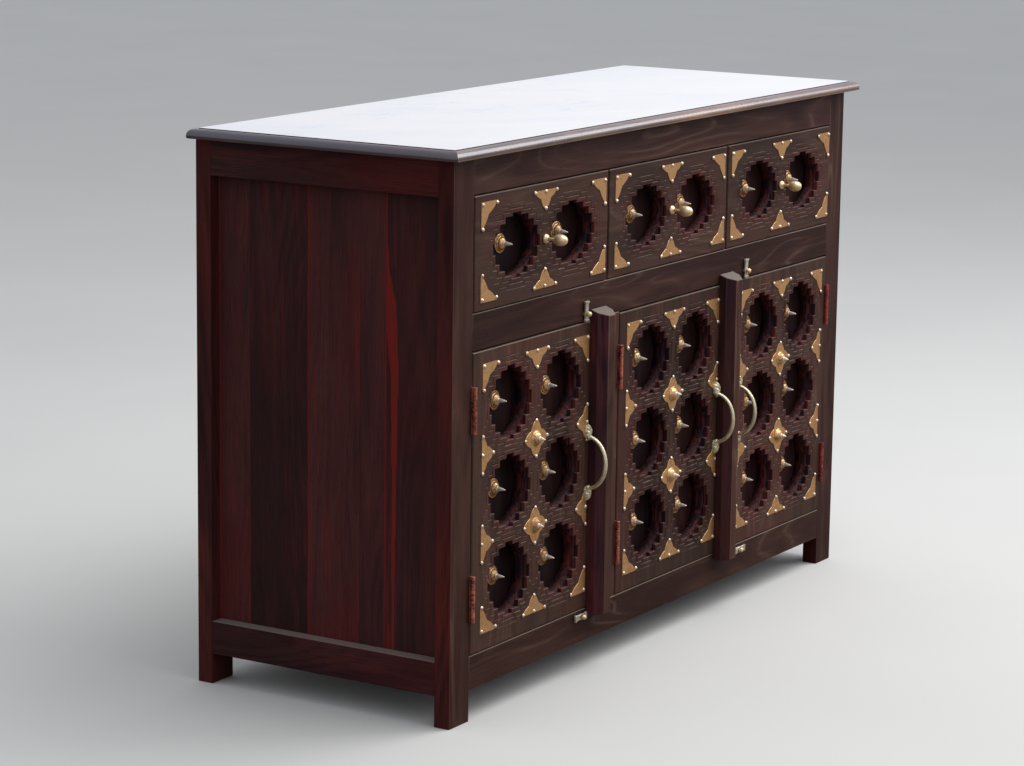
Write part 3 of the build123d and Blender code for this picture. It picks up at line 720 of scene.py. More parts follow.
def add_lip(bm, low, high, columns, rows, medallions):
    """The engraved front of a leaf as a fine grid, open at the stepped medallions."""
    worn, cut, field = (bm.verts.layers.float.new(label) for label in ("worn", "cut", "field"))
    front = {}
    for across, x in enumerate(columns):
        for up, z in enumerate(rows):
            distance, upright = step_distance(x, z, medallions)
            edge = max(0.0, LEAF_EASE - min(x - low.x, high.x - x, z - low.z))
            top = max(0.0, LEAF_TOP_EASE - (high.z - z))
            groove = carved_depth(distance, upright)
            corner = bm.verts.new((x, FRONT_Y + max(edge, top, groove), z))
            corner[worn] = 1.0 if edge > 0.01 or top > 0.01 else 0.0
            corner[cut] = 1.0 if groove > 0.3 and distance > RIM_WIDTH else 0.0
            corner[field] = 1.0 if FIELD_REACH[0] < distance < FIELD_REACH[1] else 0.0
            front[across, up] = corner
    back = {key: bm.verts.new((v.co.x, LIP_BACK, v.co.z)) for key, v in front.items()}
    solid = {}
    for across in range(len(columns) - 1):
        for up in range(len(rows) - 1):
            x = (columns[across] + columns[across + 1]) / 2
            z = (rows[up] + rows[up + 1]) / 2
            solid[across, up] = step_distance(x, z, medallions)[0] > 0
    for (across, up), filled in solid.items():
        if not filled:
            continue
        keys = [(across, up), (across + 1, up), (across + 1, up + 1), (across, up + 1)]
        bm.faces.new([front[key] for key in keys])
        bm.faces.new([back[key] for key in reversed(keys)])
        beside = [(across, up - 1), (across + 1, up), (across, up + 1), (across - 1, up)]
        for side, neighbour in enumerate(beside):
            if not solid.get(neighbour, False):
                start, end = keys[side], keys[(side + 1) % 4]
                wall = bm.faces.new((front[end], front[start], back[start], back[end]))
                wall.material_index = int(neighbour in solid)
    spare = [vertex for vertex in bm.verts if not vertex.link_faces]
    bmesh.ops.delete(bm, geom=spare, context="VERTS")


def round_turns(sides):
    """The angles of a full turn in equal steps."""
    return [2 * math.pi * side / sides for side in range(sides)]


def add_bored_block(bm, x_range, z_range, centre, radii):
    """The part of a leaf behind one medallion: a block with a smooth oval bore."""
    rings = []
    for y in (LIP_BACK, CARVED_BACK):
        oval, block = [], []
        for turn in round_turns(BORE_SIDES):
            across, up = math.cos(turn), math.sin(turn)
            oval.append((centre[0] + radii[0] * across, y, centre[1] + radii[1] * up))
            reach_x = (x_range[across > 0] - centre[0]) / across if abs(across) > 1e-9 else 1e9
            reach_z = (z_range[up > 0] - centre[1]) / up if abs(up) > 1e-9 else 1e9
            reach = min(reach_x, reach_z)
            block.append((centre[0] + reach * across, y, centre[1] + reach * up))
        for corner in ((x, y, z) for x in x_range for z in z_range):
            near = min(range(BORE_SIDES), key=lambda side: math.dist(block[side], corner))
            block[near] = corner
        rings.append((oval, block))
    (near_oval, near_block), (far_oval, far_block) = rings
    loops = [near_block, near_oval, far_oval, far_block]
    made = [[bm.verts.new(point) for point in loop] for loop in loops]
    for number, (inner, outer) in enumerate(zip(made, made[1:] + made[:1])):
        for place in range(BORE_SIDES):
            after = (place + 1) % BORE_SIDES
            face = bm.faces.new((inner[place], inner[after], outer[after], outer[place]))
            face.material_index = int(number < 2)
            face.smooth = number == 1


def carved_leaf(node, body, radii, centres, material, seed):
    """A leaf: its engraved front, and a bored block behind each medallion."""
    low, high = (corner * 1000 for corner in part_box(node))
    high.z -= LEAF_TOP_GAP
    low.z += LEAF_FOOT_GAP
    if body.startswith("drawer"):
        high.x -= DRAWER_SIDE_GAP
    medallions = stepped_medallions(centres, radii, random.Random(seed))
    columns = cutting_lines((low.x, high.x), medallions, 0)
    rows = cutting_lines((low.z, high.z), medallions, 1)
    bm = bmesh.new()
    add_lip(bm, low, high, columns, rows, medallions)
    lip_faces = len(bm.faces)
    x_cuts = [low.x, sum({c[0] for c in centres}) / 2, high.x]
    heights = sorted({c[1] for c in centres})
    z_cuts = [low.z, *((a + b) / 2 for a, b in zip(heights, heights[1:])), high.z]
    for x, z in centres:
        column = int(x > x_cuts[1])
        row = heights.index(z)
        add_bored_block(bm, x_cuts[column:column + 2], z_cuts[row:row + 2], (x, z), radii)
    bm.faces.ensure_lookup_table()
    bmesh.ops.recalc_face_normals(bm, faces=bm.faces[lip_faces:])
    set_apart(bm, seed * 0.37)
    finish_piece(node + "_carved", bm, [material, niche_wood], body, node)


def add_carving(material):
    """Adds the rows of short cuts to a wood, darkens the grooves and cuts with dirt and painted
    shade, and paints a pale sheen on groove ledges that face up.
    """
    tree, base, plain = base_colour(material)
    bump = tree.nodes["Bump"]
    grain = bump.inputs["Height"].links[0].from_socket
    place = own_place(tree)
    parts = add_node(tree, "ShaderNodeSeparateXYZ", {0: place}).outputs
    flat = add_node(tree, "ShaderNodeCombineXYZ", {"X": parts[0], "Y": parts[2]}).outputs[0]
    courses = add_node(tree, "ShaderNodeTexBrick", {"Vector": flat, **CUT_ROWS}).outputs["Fac"]
    field = attribute(tree, "field")
    cut = attribute(tree, "cut")
    faint = ranged(tree, stretched_noise(tree, place, (1, 1, 1), 30, 2.0), 0.45, 0.6)
    courses = product(tree, courses, field, faint)
    lowered = reckoned(tree, "SUBTRACT", grain, product(tree, courses, 1.6))
    tree.links.new(lowered, bump.inputs["Height"])
    colour = mixed(tree, product(tree, field, 0.3), plain, seen(70, 60, 50))
    # the grooves and short cuts are darkened: dirt and painted shade
    dirt_and_shade = reckoned(tree, "MAXIMUM", product(tree, courses, 0.5), product(tree, cut, 0.45))
    colour = mixed(tree, dirt_and_shade, colour, seen(30, 21, 20))
    chosen = ranged(tree, stretched_noise(tree, place, (1, 1, 1), 42, 1.0), 0.5, 0.6)
    # groove ledges that face up get pale dashes: a painted sheen
    ledge_sheen = product(tree, cut, chosen, ranged(tree, facing_up(tree), 0.2, 0.5))
    tree.links.new(mixed(tree, ledge_sheen, colour, seen(122, 105, 92)), base)
    return material


def add_stains(material):
    """Red and black streaks that run down a wood where the stain was laid on thick."""
    tree, base, plain = base_colour(material)
    runs = stretched_noise(tree, tree.nodes["Mapping"].outputs[0], (1, 1, 0.03), 260, 2.0)
    colour = mixed(tree, ranged(tree, runs, 0.52, 0.58, 0.0, 0.7), plain, seen(124, 55, 51))
    colour = mixed(tree, ranged(tree, runs, 0.42, 0.5, 0.6, 0.0), colour, seen(35, 31, 46))
    tree.links.new(colour, base)


def medallion_centres(field_centre, pitch, rows):
    """Centres of two columns of medallions about the middle of a field."""
    centres = []
    for column in (-1, 1):
        for row in range(rows):
            rise = (row - (rows - 1) / 2) * pitch[1]
            centres.append((field_centre[0] + column * pitch[0] / 2, field_centre[1] + rise))
    return centres


door_wood = add_carving(wood("door_wood", "Z", dust=0.35, **front_colours_with_sheen))
drawer_wood = add_carving(wood("drawer_wood", "X", dust=0.35, **front_colours_with_sheen))
niche_colours = dict(
    body=(56, 36, 38), heart=(42, 28, 33), streak=(96, 43, 41), worn=(70, 54, 52)
)
backing_colours = dict(
    body=(47, 31, 30), heart=(32, 22, 24), streak=(68, 35, 34), worn=(70, 52, 46)
)
niche_wood = wood("niche_wood", "Z", dust=0.12, **niche_colours)
add_stains(niche_wood)
backing_wood = wood("backing_wood", "Z", dust=0.1, **backing_colours)
for number, centre in enumerate(DOOR_CENTRES, start=1):
    door = f"door_{number}"
    centres = medallion_centres(centre, DOOR_PITCH, 3)
    carved_leaf(door + "_panel", door, DOOR_MEDALLION, centres, door_wood, number)
    paint(door + "_backing", backing_wood)
for number, centre in enumerate(DRAWER_CENTRES, start=1):
    drawer = f"drawer_{number}"
    centres = medallion_centres(centre, DRAWER_PITCH, 1)
    carved_leaf(drawer + "_front", drawer, DRAWER_MEDALLION, centres, drawer_wood, number + 3)

# Drawer boxes -------------------------------------------------------------------
# Plain sides, back and bottom of the lighter wood behind an inner front of the dark one,
# which shows as the floor of the medallions. The bottom is held in grooves of the sides.

INNER_FRONT_BACK = CARVED_BACK + 8.1

for number in (1, 2, 3):
    node = f"drawer_{number}_box"
    bm = merged_copy(node)
    set_apart(bm, 7.1 + number)
    for face in bm.faces:
        face.material_index = int(face.calc_center_median().y < INNER_FRONT_BACK)
    woods = [inner_deep, backing_wood]
    finish_piece(node + "_boards", bm, woods, f"drawer_{number}", node)

# Brass plates -------------------------------------------------------------------
# Thin sheet brass cut with lobed edges and nailed flat round each carved field: corner,
# edge and side plates, and diamonds between the medallions. It has dulled to a sandy tan.

DOOR_FIELD = (322.0, 428.0)
DRAWER_FIELD = (378.0, 154.5)
CORNER_PLATE = (46.0, 43.0)
EDGE_PLATE = (33.5, 30.0)
PLATE_FACE = -223.25
PLATE_EDGE = 0.35
CUSP_SHARE = 0.45
LOBE_RISE = 3.0
LOBE_STEPS = 7


def make_brass_group():
    """Worked metal with tarnish in patches and fine scratches, cleaner where it is worn."""
    inputs = [("Bright", "Color"), ("Dull", "Color"), ("Tarnish", "Float")]
    tree, given, result = new_group("aged_brass", inputs)
    worn = attribute(tree, "worn")
    vector = given["Vector"]
    patches = stretched_noise(tree, vector, (1, 1, 1), 55, 4.0, 0.6)
    grime = stretched_noise(tree, vector, (1, 1, 1), 320, 3.0)
    scratches = stretched_noise(tree, vector, (1, 1, 0.1), 1500, 2.0)
    amount = ranged(tree, reckoned(tree, "ADD", patches, grime), 0.8, 1.2)
    amount = product(tree, amount, given["Tarnish"])
    amount = reckoned(tree, "SUBTRACT", amount, product(tree, worn, 0.7))
    amount = ranged(tree, amount, 0.0, 1.0)
    tree.links.new(mixed(tree, amount, given["Bright"], given["Dull"]), result["Color"])
    rough = ranged(tree, reckoned(tree, "ADD", amount, scratches), 0.3, 1.4, 0.26, 0.6)
    tree.links.new(rough, result["Roughness"])
    height = reckoned(tree, "ADD", product(tree, patches, 3.0), scratches)
    tree.links.new(height, result["Height"])
    return tree


brass_group = make_brass_group()


def metal(name, bright, dull, tarnish, relief=0.08, metallic=0.9):
    """A metal that goes from bright to dull where it has tarnished."""
    inputs = {"Bright": seen(*bright), "Dull": seen(*dull), "Tarnish": tarnish}
    shading = {"Metallic": metallic}
    return drawn_by(brass_group, name, inputs, shading, strength=0.6, relief=relief)


sheet_brass = metal("sheet_brass", (228, 178, 120), (172, 123, 78), 0.8, 0.05, 0.75)


def lobe(start, end):
    """Points from start up to end along an arc that bulges away from the root."""
    outward = Vector((start[0] + end[0], start[1] + end[1])).normalized()
    points = []
    for number in range(LOBE_STEPS):
        share = number / LOBE_STEPS
        rise = LOBE_RISE * 4 * share * (1 - share)
        points.append((
            start[0] + (end[0] - start[0]) * share + outward.x * rise,
            start[1] + (end[1] - start[1]) * share + outward.y * rise,
        ))
    return points


def plate_outline(reach, signs):
    """One quadrant makes a corner plate, two an edge plate and four a diamond."""
    points = []
    for sign_x, sign_z in signs:
        side_tip = (sign_x * reach[0], 0.0)
        end_tip = (0.0, sign_z * reach[1])
        cusp = (sign_x * reach[0] * CUSP_SHARE, sign_z * reach[1] * CUSP_SHARE)
        start, end = (side_tip, end_tip) if sign_x * sign_z > 0 else (end_tip, side_tip)
        points += lobe(start, cusp) + lobe(cusp, end)
    if len(signs) < 4:
        points.append(end)
    if len(signs) == 1:
        points.append((0.0, 0.0))
    return points


def add_plate(bm, outline, x, z):
    """A plate with its front edge filed over, a little smaller than its back."""
    worn = face_layer(bm, "worn")
    corners = [Vector(point) for point in outline]
    count = len(corners)
    area = sum(a.x * b.y - b.x * a.y for a, b in zip(corners, corners[1:] + corners[:1]))
    inward = 1 if area > 0 else -1
    small = []
    for place, corner in enumerate(corners):
        before = (corner - corners[place - 1]).normalized()
        after = (corners[(place + 1) % count] - corner).normalized()
        normal = Vector((-(before + after).y, (before + after).x))
        small.append(corner + normal.normalized() * PLATE_EDGE * inward)
    rings = []
    for points, y in (
        (corners, FRONT_Y), (corners, PLATE_FACE + PLATE_EDGE), (small, PLATE_FACE),
    ):
        rings.append([(x + point.x, y, z + point.y) for point in points])
    start = len(bm.faces)
    add_strip_of_rings(bm, rings)
    bm.faces.ensure_lookup_table()
    for face in bm.faces[start + count:start + 2 * count]:
        face[worn] = 1.0
    for face in bm.faces[start:]:
        face.smooth = False
    bmesh.ops.recalc_face_normals(bm, faces=bm.faces[start:])


DIAMOND = [(1, 1), (-1, 1), (-1, -1), (1, -1)]
NAIL_INSET = 1.0
EDGE_NAILS = 2.4


def field_plates(centre, field, side_heights, diamond_heights):
    """For every plate of a field: its outline, its place and its nails."""
    half_x, half_z = field[0] / 2, field[1] / 2
    across, up = EDGE_PLATE
    for sign_x, sign_z in DIAMOND:
        x, z = centre[0] + sign_x * half_x, centre[1] + sign_z * half_z
        inset = (-sign_x * 4, -sign_z * 4)
        nails = [inset, (-sign_x * (CORNER_PLATE[0] - 1), inset[1]),
                 (inset[0], -sign_z * (CORNER_PLATE[1] - 1))]
        yield plate_outline(CORNER_PLATE, [(-sign_x, -sign_z)]), (x, z), nails
    for sign_z in (1, -1):
        signs = [(-1, -1), (1, -1)] if sign_z > 0 else [(1, 1), (-1, 1)]
        base = -sign_z * EDGE_NAILS
        nails = [(-across + NAIL_INSET, base), (0, base), (across - NAIL_INSET, base)]
        nails.append((0, -sign_z * (up - NAIL_INSET)))
        yield plate_outline(EDGE_PLATE, signs), (centre[0], centre[1] + sign_z * half_z), nails
    for height in side_heights:
        for sign_x in (-1, 1):
            signs = [(1, -1), (1, 1)] if sign_x < 0 else [(-1, 1), (-1, -1)]
            base = -sign_x * EDGE_NAILS
            nails = [(base, -up + NAIL_INSET), (base, 0), (base, up - NAIL_INSET)]
            nails.append((-sign_x * (across - NAIL_INSET), 0))
            place = (centre[0] + sign_x * half_x, centre[1] + height)
            yield plate_outline(EDGE_PLATE, signs), place, nails
    for height in diamond_heights:
        nails = [(-across + NAIL_INSET, 0), (across - NAIL_INSET, 0),
                 (0, -up + NAIL_INSET), (0, up - NAIL_INSET)]
        yield plate_outline(EDGE_PLATE, DIAMOND), (centre[0], centre[1] + height), nails


half_pitch = DOOR_PITCH[1] / 2
nail_places = {}
leaves = []
for kind, centres, field, heights in (
    ("door", DOOR_CENTRES, DOOR_FIELD, (-half_pitch, half_pitch)),
    ("drawer", DRAWER_CENTRES, DRAWER_FIELD, ()),
):
    for number, centre in enumerate(centres, start=1):
        leaves.append((f"{kind}_{number}", centre, field, heights))
for leaf, centre, field, heights in leaves:
    bm = bmesh.new()
    nail_places[leaf] = []
    for outline, (x, z), nails in field_plates(centre, field, heights, heights):
        add_plate(bm, outline, x, z)
        nail_places[leaf] += [(x + dx, PLATE_FACE, z + dz) for dx, dz in nails]
    finish_piece(leaf + "_plates", bm, [sheet_brass], leaf, leaf + "_brass")

# Spiked bosses --------------------------------------------------------------------
# Pressed brass domes with a rolled rim, each held by a turned steel spike that screws through
# its middle: one on the floor of every medallion and one on every diamond.

BOSS_FLANGE = ((0.0, 0.0), (16.0, 0.0), (16.6, 0.5), (16.6, 1.3), (16.0, 1.9), (14.9, 2.0),
               (0.0, 2.0))
DOME = ((0.0, 0.0), (13.2, 0.0), (13.0, 0.7), (12.2, 1.6), (11.4, 2.0), (10.9, 2.0),
        (10.4, 3.4), (9.2, 5.0), (7.2, 6.3), (5.2, 6.9), (0.0, 7.0))
SPIKE = ((0.0, 6.6), (4.3, 6.6), (4.6, 7.4), (4.2, 8.2), (3.5, 8.7), (3.6, 10.0))
FLANGE_SCALE = 0.96
DOME_SCALE = 0.985
NICHE_SPIKE = 15.5
DIAMOND_SPIKE = 10.5
MOST_LEAN = 0.03


def add_turned(bm, profile, placing, sides=24):
    """A turned body; profile lists (radius, height) up its axis, from pole to pole."""
    rings = []
    for radius, height in profile:
        if radius:
            turns = round_turns(sides)
            ring = [(radius * math.cos(turn), radius * math.sin(turn), height) for turn in turns]
        else:
            ring = [(0.0, 0.0, height)]
        rings.append([bm.verts.new(placing @ Vector(point)) for point in ring])
    start = len(bm.faces)
    for lower, upper in zip(rings, rings[1:]):
        for side in range(sides):
            after = (side + 1) % sides
            corners = [lower[side % len(lower)], lower[after % len(lower)]]
            corners += [upper[after % len(upper)], upper[side % len(upper)]]
            distinct = list(dict.fromkeys(corners))
            bm.faces.new(distinct).smooth = True
    for ring, turned_back in ((rings[0], True), (rings[-1], False)):
        if len(ring) > 1:
            bm.faces.new(ring[::-1] if turned_back else ring)
    bm.faces.ensure_lookup_table()
    bmesh.ops.recalc_face_normals(bm, faces=bm.faces[start:])


def to_front(x, y, z, lean=(0.0, 0.0)):
    """Turns an upright shape so that its axis points to the front, with a slight lean."""
    turn = Matrix.Rotation(math.pi / 2 + lean[0], 4, "X") @ Matrix.Rotation(lean[1], 4, "Y")
    return Matrix.Translation((x, y, z)) @ turn


def add_boss(brass_bm, steel_bm, spot, spike_length, chance):
    """A boss; on the floor of a niche it has a flange below its dome."""
    lean = (chance.uniform(-MOST_LEAN, MOST_LEAN), chance.uniform(-MOST_LEAN, MOST_LEAN))
    placing = to_front(*spot, lean)
    raised = 0.0
    if spike_length == NICHE_SPIKE:
        raised = BOSS_FLANGE[-1][1]
        add_turned(brass_bm, [(r * FLANGE_SCALE, h) for r, h in BOSS_FLANGE], placing)
    add_turned(brass_bm, [(r * DOME_SCALE, h + raised) for r, h in DOME], placing)
    tip = raised + DOME[-1][1] + spike_length
    spike = [(r, h + raised) for r, h in SPIKE] + [(2.5, tip - spike_length * 0.45)]
    spike += [(1.2, tip - 2.0), (0.5, tip - 0.5), (0.0, tip - 0.2)]
    add_turned(steel_bm, spike, placing, 16)


boss_brass = metal("boss_brass", (240, 197, 138), (120, 70, 42), 0.75)
spike_steel = metal("spike_steel", (255, 240, 222), (214, 194, 172), 0.5, 0.04, 0.3)
chance = random.Random(21)
for leaf, centre, field, heights in leaves:
    brass_bm, steel_bm = bmesh.new(), bmesh.new()
    pitch, rows = (DOOR_PITCH, 3) if heights else (DRAWER_PITCH, 1)
    for x, z in medallion_centres(centre, pitch, rows):
        add_boss(brass_bm, steel_bm, (x, CARVED_BACK, z), NICHE_SPIKE, chance)
    for height in heights:
        spot = (centre[0], PLATE_FACE, centre[1] + height)
        add_boss(brass_bm, steel_bm, spot, DIAMOND_SPIKE, chance)
    for name, bm, material in (
        ("_bosses", brass_bm, boss_brass), ("_spikes", steel_bm, spike_steel),
    ):
        keep_sharp(bm, 50)
        finish_piece(leaf + name, bm, [material], leaf, leaf + "_brass")

# Nails ----------------------------------------------------------------------------
# Domed brass nails with a thin rim, driven through the plates by hand, so that no two
# stand quite alike.

NAIL = ((0.0, -0.2), (3.4, -0.2), (3.5, 0.4), (3.2, 0.7), (2.9, 1.3), (2.0, 2.0), (1.0, 2.4),
        (0.0, 2.5))
NAIL_LEAN = 0.12
NAIL_SPREAD = 0.06


def make_setting_tree():
    """Sets a pattern on every point, each turned, leaned and sized a little by chance."""
    tree = bpy.data.node_groups.new("set_on_points", "GeometryNodeTree")
    for label, kind in (("Points", "Geometry"), ("Pattern", "Object"), ("Seed", "Int")):
        tree.interface.new_socket(label, in_out="INPUT", socket_type="NodeSocket" + kind)
    tree.interface.new_socket("Pieces", in_out="OUTPUT", socket_type="NodeSocketGeometry")
    given = tree.nodes.new("NodeGroupInput").outputs
    result = tree.nodes.new("NodeGroupOutput").inputs
    pattern = add_node(tree, "GeometryNodeObjectInfo", {"Object": given["Pattern"]})
    sizes = {2: 1.0 - NAIL_SPREAD, 3: 1.0 + NAIL_SPREAD, "Seed": given["Seed"]}
    size = add_node(tree, "FunctionNodeRandomValue", sizes, data_type="FLOAT")
    leans = {0: (-NAIL_LEAN, 0.0, -NAIL_LEAN), 1: (NAIL_LEAN, 0.0, NAIL_LEAN)}
    leans["Seed"] = given["Seed"]
    lean = add_node(tree, "FunctionNodeRandomValue", leans, data_type="FLOAT_VECTOR")
    turn = add_node(tree, "FunctionNodeEulerToRotation", {0: lean.outputs[0]})
    placed = add_node(tree, "GeometryNodeInstanceOnPoints", {
        "Points": given["Points"], "Instance": pattern.outputs["Geometry"],
        "Rotation": turn.outputs[0], "Scale": size.outputs[1],
    })
    made = add_node(tree, "GeometryNodeRealizeInstances", {"Geometry": placed.outputs[0]})
    tree.links.new(made.outputs[0], result["Pieces"])
    return tree


def make_nail():
    """One nail that faces the front, to be set on points."""
    bm = bmesh.new()
    add_turned(bm, NAIL, to_front(0, 0, 0), 10)
    nail = add_object("nail", mesh_in_metres("nail", bm))
    nail.data.materials.append(nail_brass)
    return nail


def set_nails(leaf, places, seed):
    """All nails of a leaf as one piece, set on their places in millimetres."""
    name = leaf + "_nails"
    mesh = bpy.data.meshes.new(name + "_places")
    mesh.from_pydata([[value * MM for value in place] for place in places], [], [])
    carrier = add_object(name + "_places", mesh)
    modifier = carrier.modifiers.new("setting", "NODES")
    modifier.node_group = setting_tree
    for item in setting_tree.interface.items_tree:
        if item.name == "Pattern":
            modifier[item.identifier] = nail
        if item.name == "Seed":
            modifier[item.identifier] = seed
    carrier.update_tag()
    graph = bpy.context.evaluated_depsgraph_get()
    made = bpy.data.meshes.new_from_object(carrier.evaluated_get(graph))
    made.name = name
    bpy.data.objects.remove(carrier)
    piece = add_object(name, made)
    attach(piece, leaf)


setting_tree = make_setting_tree()
nail_brass = metal("nail_brass", (236, 218, 190), (190, 158, 120), 0.6)
nail = make_nail()
for number, (leaf, places) in enumerate(nail_places.items()):
    set_nails(leaf, places, 40 + number)
bpy.data.objects.remove(nail)

# Closing strips -------------------------------------------------------------------
# A chamfered strip on the closing edge of the first and second door, glued and screwed from
# behind. The flanks of the first one keep the red of the wood; those of the second are darker
# and browner, a painted shade.

strip_colours = dict(
    body=(72, 39, 42), heart=(41, 25, 33), streak=(116, 44, 45), worn=(84, 50, 46)
)
# the second strip's colours are darker and browner: painted shade on its flanks
shaded_strip_colours = dict(strip_colours, body=(50, 30, 28), streak=(70, 34, 32))
for number, colours in enumerate((strip_colours, shaded_strip_colours), start=1):
    strip_wood = wood(f"strip_{number}_wood", "Z", dust=0.6, **colours)
    node = f"door_{number}_strip"
    bm = merged_copy(node)
    long_edges = [e for e in bm.edges if e.calc_length() > 100 and e.calc_face_angle(0) > 0.5]
    rim = [e for e in bm.edges if e not in long_edges and e.calc_face_angle(0) > 0.4]
    ease(bm, long_edges + rim, 1.1)
    set_apart(bm, 5.3 + number)
    bm.normal_update()
    for face in bm.faces:
        # faces that look to the front take the front wood with its painted sky reflection; the
        # other faces keep the strip's red
        face.material_index = int(face.normal.y < -0.9)
    woods = [strip_wood, front_upright]
    finish_piece(node + "_wood", bm, woods, f"door_{number}", node)

# Bow handles ----------------------------------------------------------------------
# Cast brass bows with a leafy pad at each end, pinned through the plates. The cast skin is
# dull and a little green.

HANDLE_X = (-259.5, 182.0, 264.0)
HANDLE_Z = 351.0
HANDLE_REACH = 34.5
HALF_SPAN = 43.0
PAD_HALF = (6.6, 11.5)
PAD_LOBES = 5
PAD_COURSES = (1.0, 0.97, 0.86, 0.68, 0.46, 0.22)
PAD_THICK = 8.2
BOW_STEPS = 28
TUBE_SIDES = 14
PAD_SIDES = 30


def add_tube(bm, path, radii):
    """A closed tube along a path in the YZ plane, with two radii at each point."""
    rings = []
    for place, (y, z) in enumerate(path):
        before = path[max(0, place - 1)]
        after = path[min(len(path) - 1, place + 1)]
        along = Vector((after[0] - before[0], after[1] - before[1])).normalized()
        ring = []
        for turn in round_turns(TUBE_SIDES):
            out = radii[place][1] * math.sin(turn)
            ring.append((radii[place][0] * math.cos(turn), y - along.y * out, z + along.x * out))
        rings.append(ring)
    add_strip_of_rings(bm, rings)


def add_pad(bm, z, points_up):
    """A leafy pad: lobed in outline and ribbed from its root to its tip."""
    rings = []
    for share in PAD_COURSES:
        ring = []
        for turn in round_turns(PAD_SIDES):
            lobed = 1 + 0.09 * math.cos(PAD_LOBES * 2 * turn) * share
            taper = 1 - 0.22 * math.sin(turn) * points_up
            height = PAD_THICK * (1 - share ** 2.4) ** 0.6
            height *= 1 + 0.16 * math.cos(PAD_LOBES * 2 * turn)
            x = PAD_HALF[0] * share * lobed * taper * math.cos(turn)
            ring.append((x, -height, z + PAD_HALF[1] * share * lobed * math.sin(turn)))
        rings.append(ring)
    floor = [(x, 0.6, height) for x, _, height in rings[0]]
    add_strip_of_rings(bm, [floor] + rings)


def add_handle(bm):
    """The bow and its pads, about X 0, with Y 0 on the plates."""
    path, radii = [], []
    for step in range(BOW_STEPS + 1):
        share = step / BOW_STEPS
        turn = math.pi * step / BOW_STEPS
        path.append((-1.5 - HANDLE_REACH * math.sin(turn), HALF_SPAN * math.cos(turn)))
        swell = 1 + 0.22 * math.exp(-((share - 0.62) / 0.2) ** 2)
        root = 1 + 0.5 * math.exp(-(min(share, 1 - share) / 0.05) ** 2)
        radii.append((3.4 * swell * root, 3.0 * swell * root))
    add_tube(bm, path, radii)
    for end in (-1, 1):
        add_pad(bm, end * (HALF_SPAN + 8.5), end)
        collar = [(0, 0.0), (4.8, 0.3), (5.4, 1.5), (4.8, 2.7), (0, 3.0)]
        add_turned(bm, collar, to_front(0, -3.5, end * (HALF_SPAN - 0.5)), 16)


cast_brass = metal("cast_brass", (242, 230, 192), (170, 158, 120), 0.7, 0.2, 0.7)
for number, x in enumerate(HANDLE_X, start=1):
    bm = bmesh.new()
    add_handle(bm)
    bmesh.ops.translate(bm, vec=(x, PLATE_FACE, HANDLE_Z), verts=bm.verts)
    bmesh.ops.recalc_face_normals(bm, faces=bm.faces)
    keep_sharp(bm, 60)
    door = f"door_{number}"
    finish_piece(door + "_bow", bm, [cast_brass], door, door + "_handle")

# Hinges ---------------------------------------------------------------------------
# Steel butt hinges of three inches, painted over with the wood stain, redder on the third
# door. The leaves lie in shallow pockets, and the pin has a small head at each end.

HINGE_X = (-605.25, -156.25, 605.25)
HINGE_Z = (196.0, 493.0)
HINGE_LENGTH = 74.0
HINGE_AXIS_Y = -225.95
HINGE_LEAF_Y = (-221.7, -196.95)
HINGE_LEAF_X = (0.25, 1.7)
KNUCKLE_RADIUS = 3.5
KNUCKLES = 5
KNUCKLE_GAP = 0.25
PIN_HEAD = ((0.0, 0.0), (2.3, 0.0), (2.1, 0.6), (1.2, 0.95), (0.0, 1.0))


def knuckle_spans(middle, pinned):
    """The low and the high end of each barrel; the pinned leaf has the outer ones."""
    pitch = HINGE_LENGTH / KNUCKLES
    foot = middle - HINGE_LENGTH / 2
    numbers = range(0 if pinned else 1, KNUCKLES, 2)
    return [
        (foot + n * pitch + KNUCKLE_GAP, foot + (n + 1) * pitch - KNUCKLE_GAP) for n in numbers
    ]


def add_hinge_leaf(bm, x, side, middle, knuckles):
    """A leaf plate beside the axis and the tongues that join it to its barrels."""
    near, far = (side * reach for reach in HINGE_LEAF_X)
    half = HINGE_LENGTH / 2
    spans = [(*HINGE_LEAF_Y, middle - half, middle + half)]
    spans += [(HINGE_AXIS_Y, HINGE_LEAF_Y[0] + 0.1, low, high) for low, high in knuckles]
    for y_near, y_far, low, high in spans:
        made = bmesh.ops.create_cube(bm, size=1.0)["verts"]
        size = (abs(far - near), y_far - y_near, high - low)
        bmesh.ops.scale(bm, vec=size, verts=made)
        centre = (x + (near + far) / 2, (y_near + y_far) / 2, (low + high) / 2)
        bmesh.ops.translate(bm, vec=centre, verts=made)
        edges = list(dict.fromkeys(e for vertex in made for e in vertex.link_edges))
        bmesh.ops.bevel(bm, geom=edges, offset=0.2, segments=1, affect="EDGES")


def hinge_part(name, doors, pinned, body, node):
    """One half of the hinges of some doors: the frame's with the pins, or a door's."""
    bm = bmesh.new()
    for door in doors:
        x = HINGE_X[door]
        axis = Matrix.Translation((x, HINGE_AXIS_Y, 0))
        side = 1 if (door == 2) == pinned else -1
        for middle in HINGE_Z:
            knuckles = knuckle_spans(middle, pinned)
            for low, high in knuckles:
                barrel = [(0.0, low), (3.0, low), (KNUCKLE_RADIUS, low + 0.5),
                          (KNUCKLE_RADIUS, high - 0.5), (3.0, high), (0.0, high)]
                add_turned(bm, barrel, axis, 20)
            add_hinge_leaf(bm, x, side, middle, knuckles)
            for end in (-1, 1) if pinned else ():
                foot = Matrix.Translation((0, 0, middle + end * (HINGE_LENGTH / 2 - 1)))
                turn = Matrix.Rotation(0 if end > 0 else math.pi, 4, "X")
                add_turned(bm, PIN_HEAD, axis @ foot @ turn, 12)
    keep_sharp(bm, 40)
    for face in bm.faces:
        on_third_door = face.calc_center_median().x > HINGE_X[2] - 10
        face.material_index = int(on_third_door)
    finish_piece(name, bm, [hinge_steel, redder_steel], body, node)


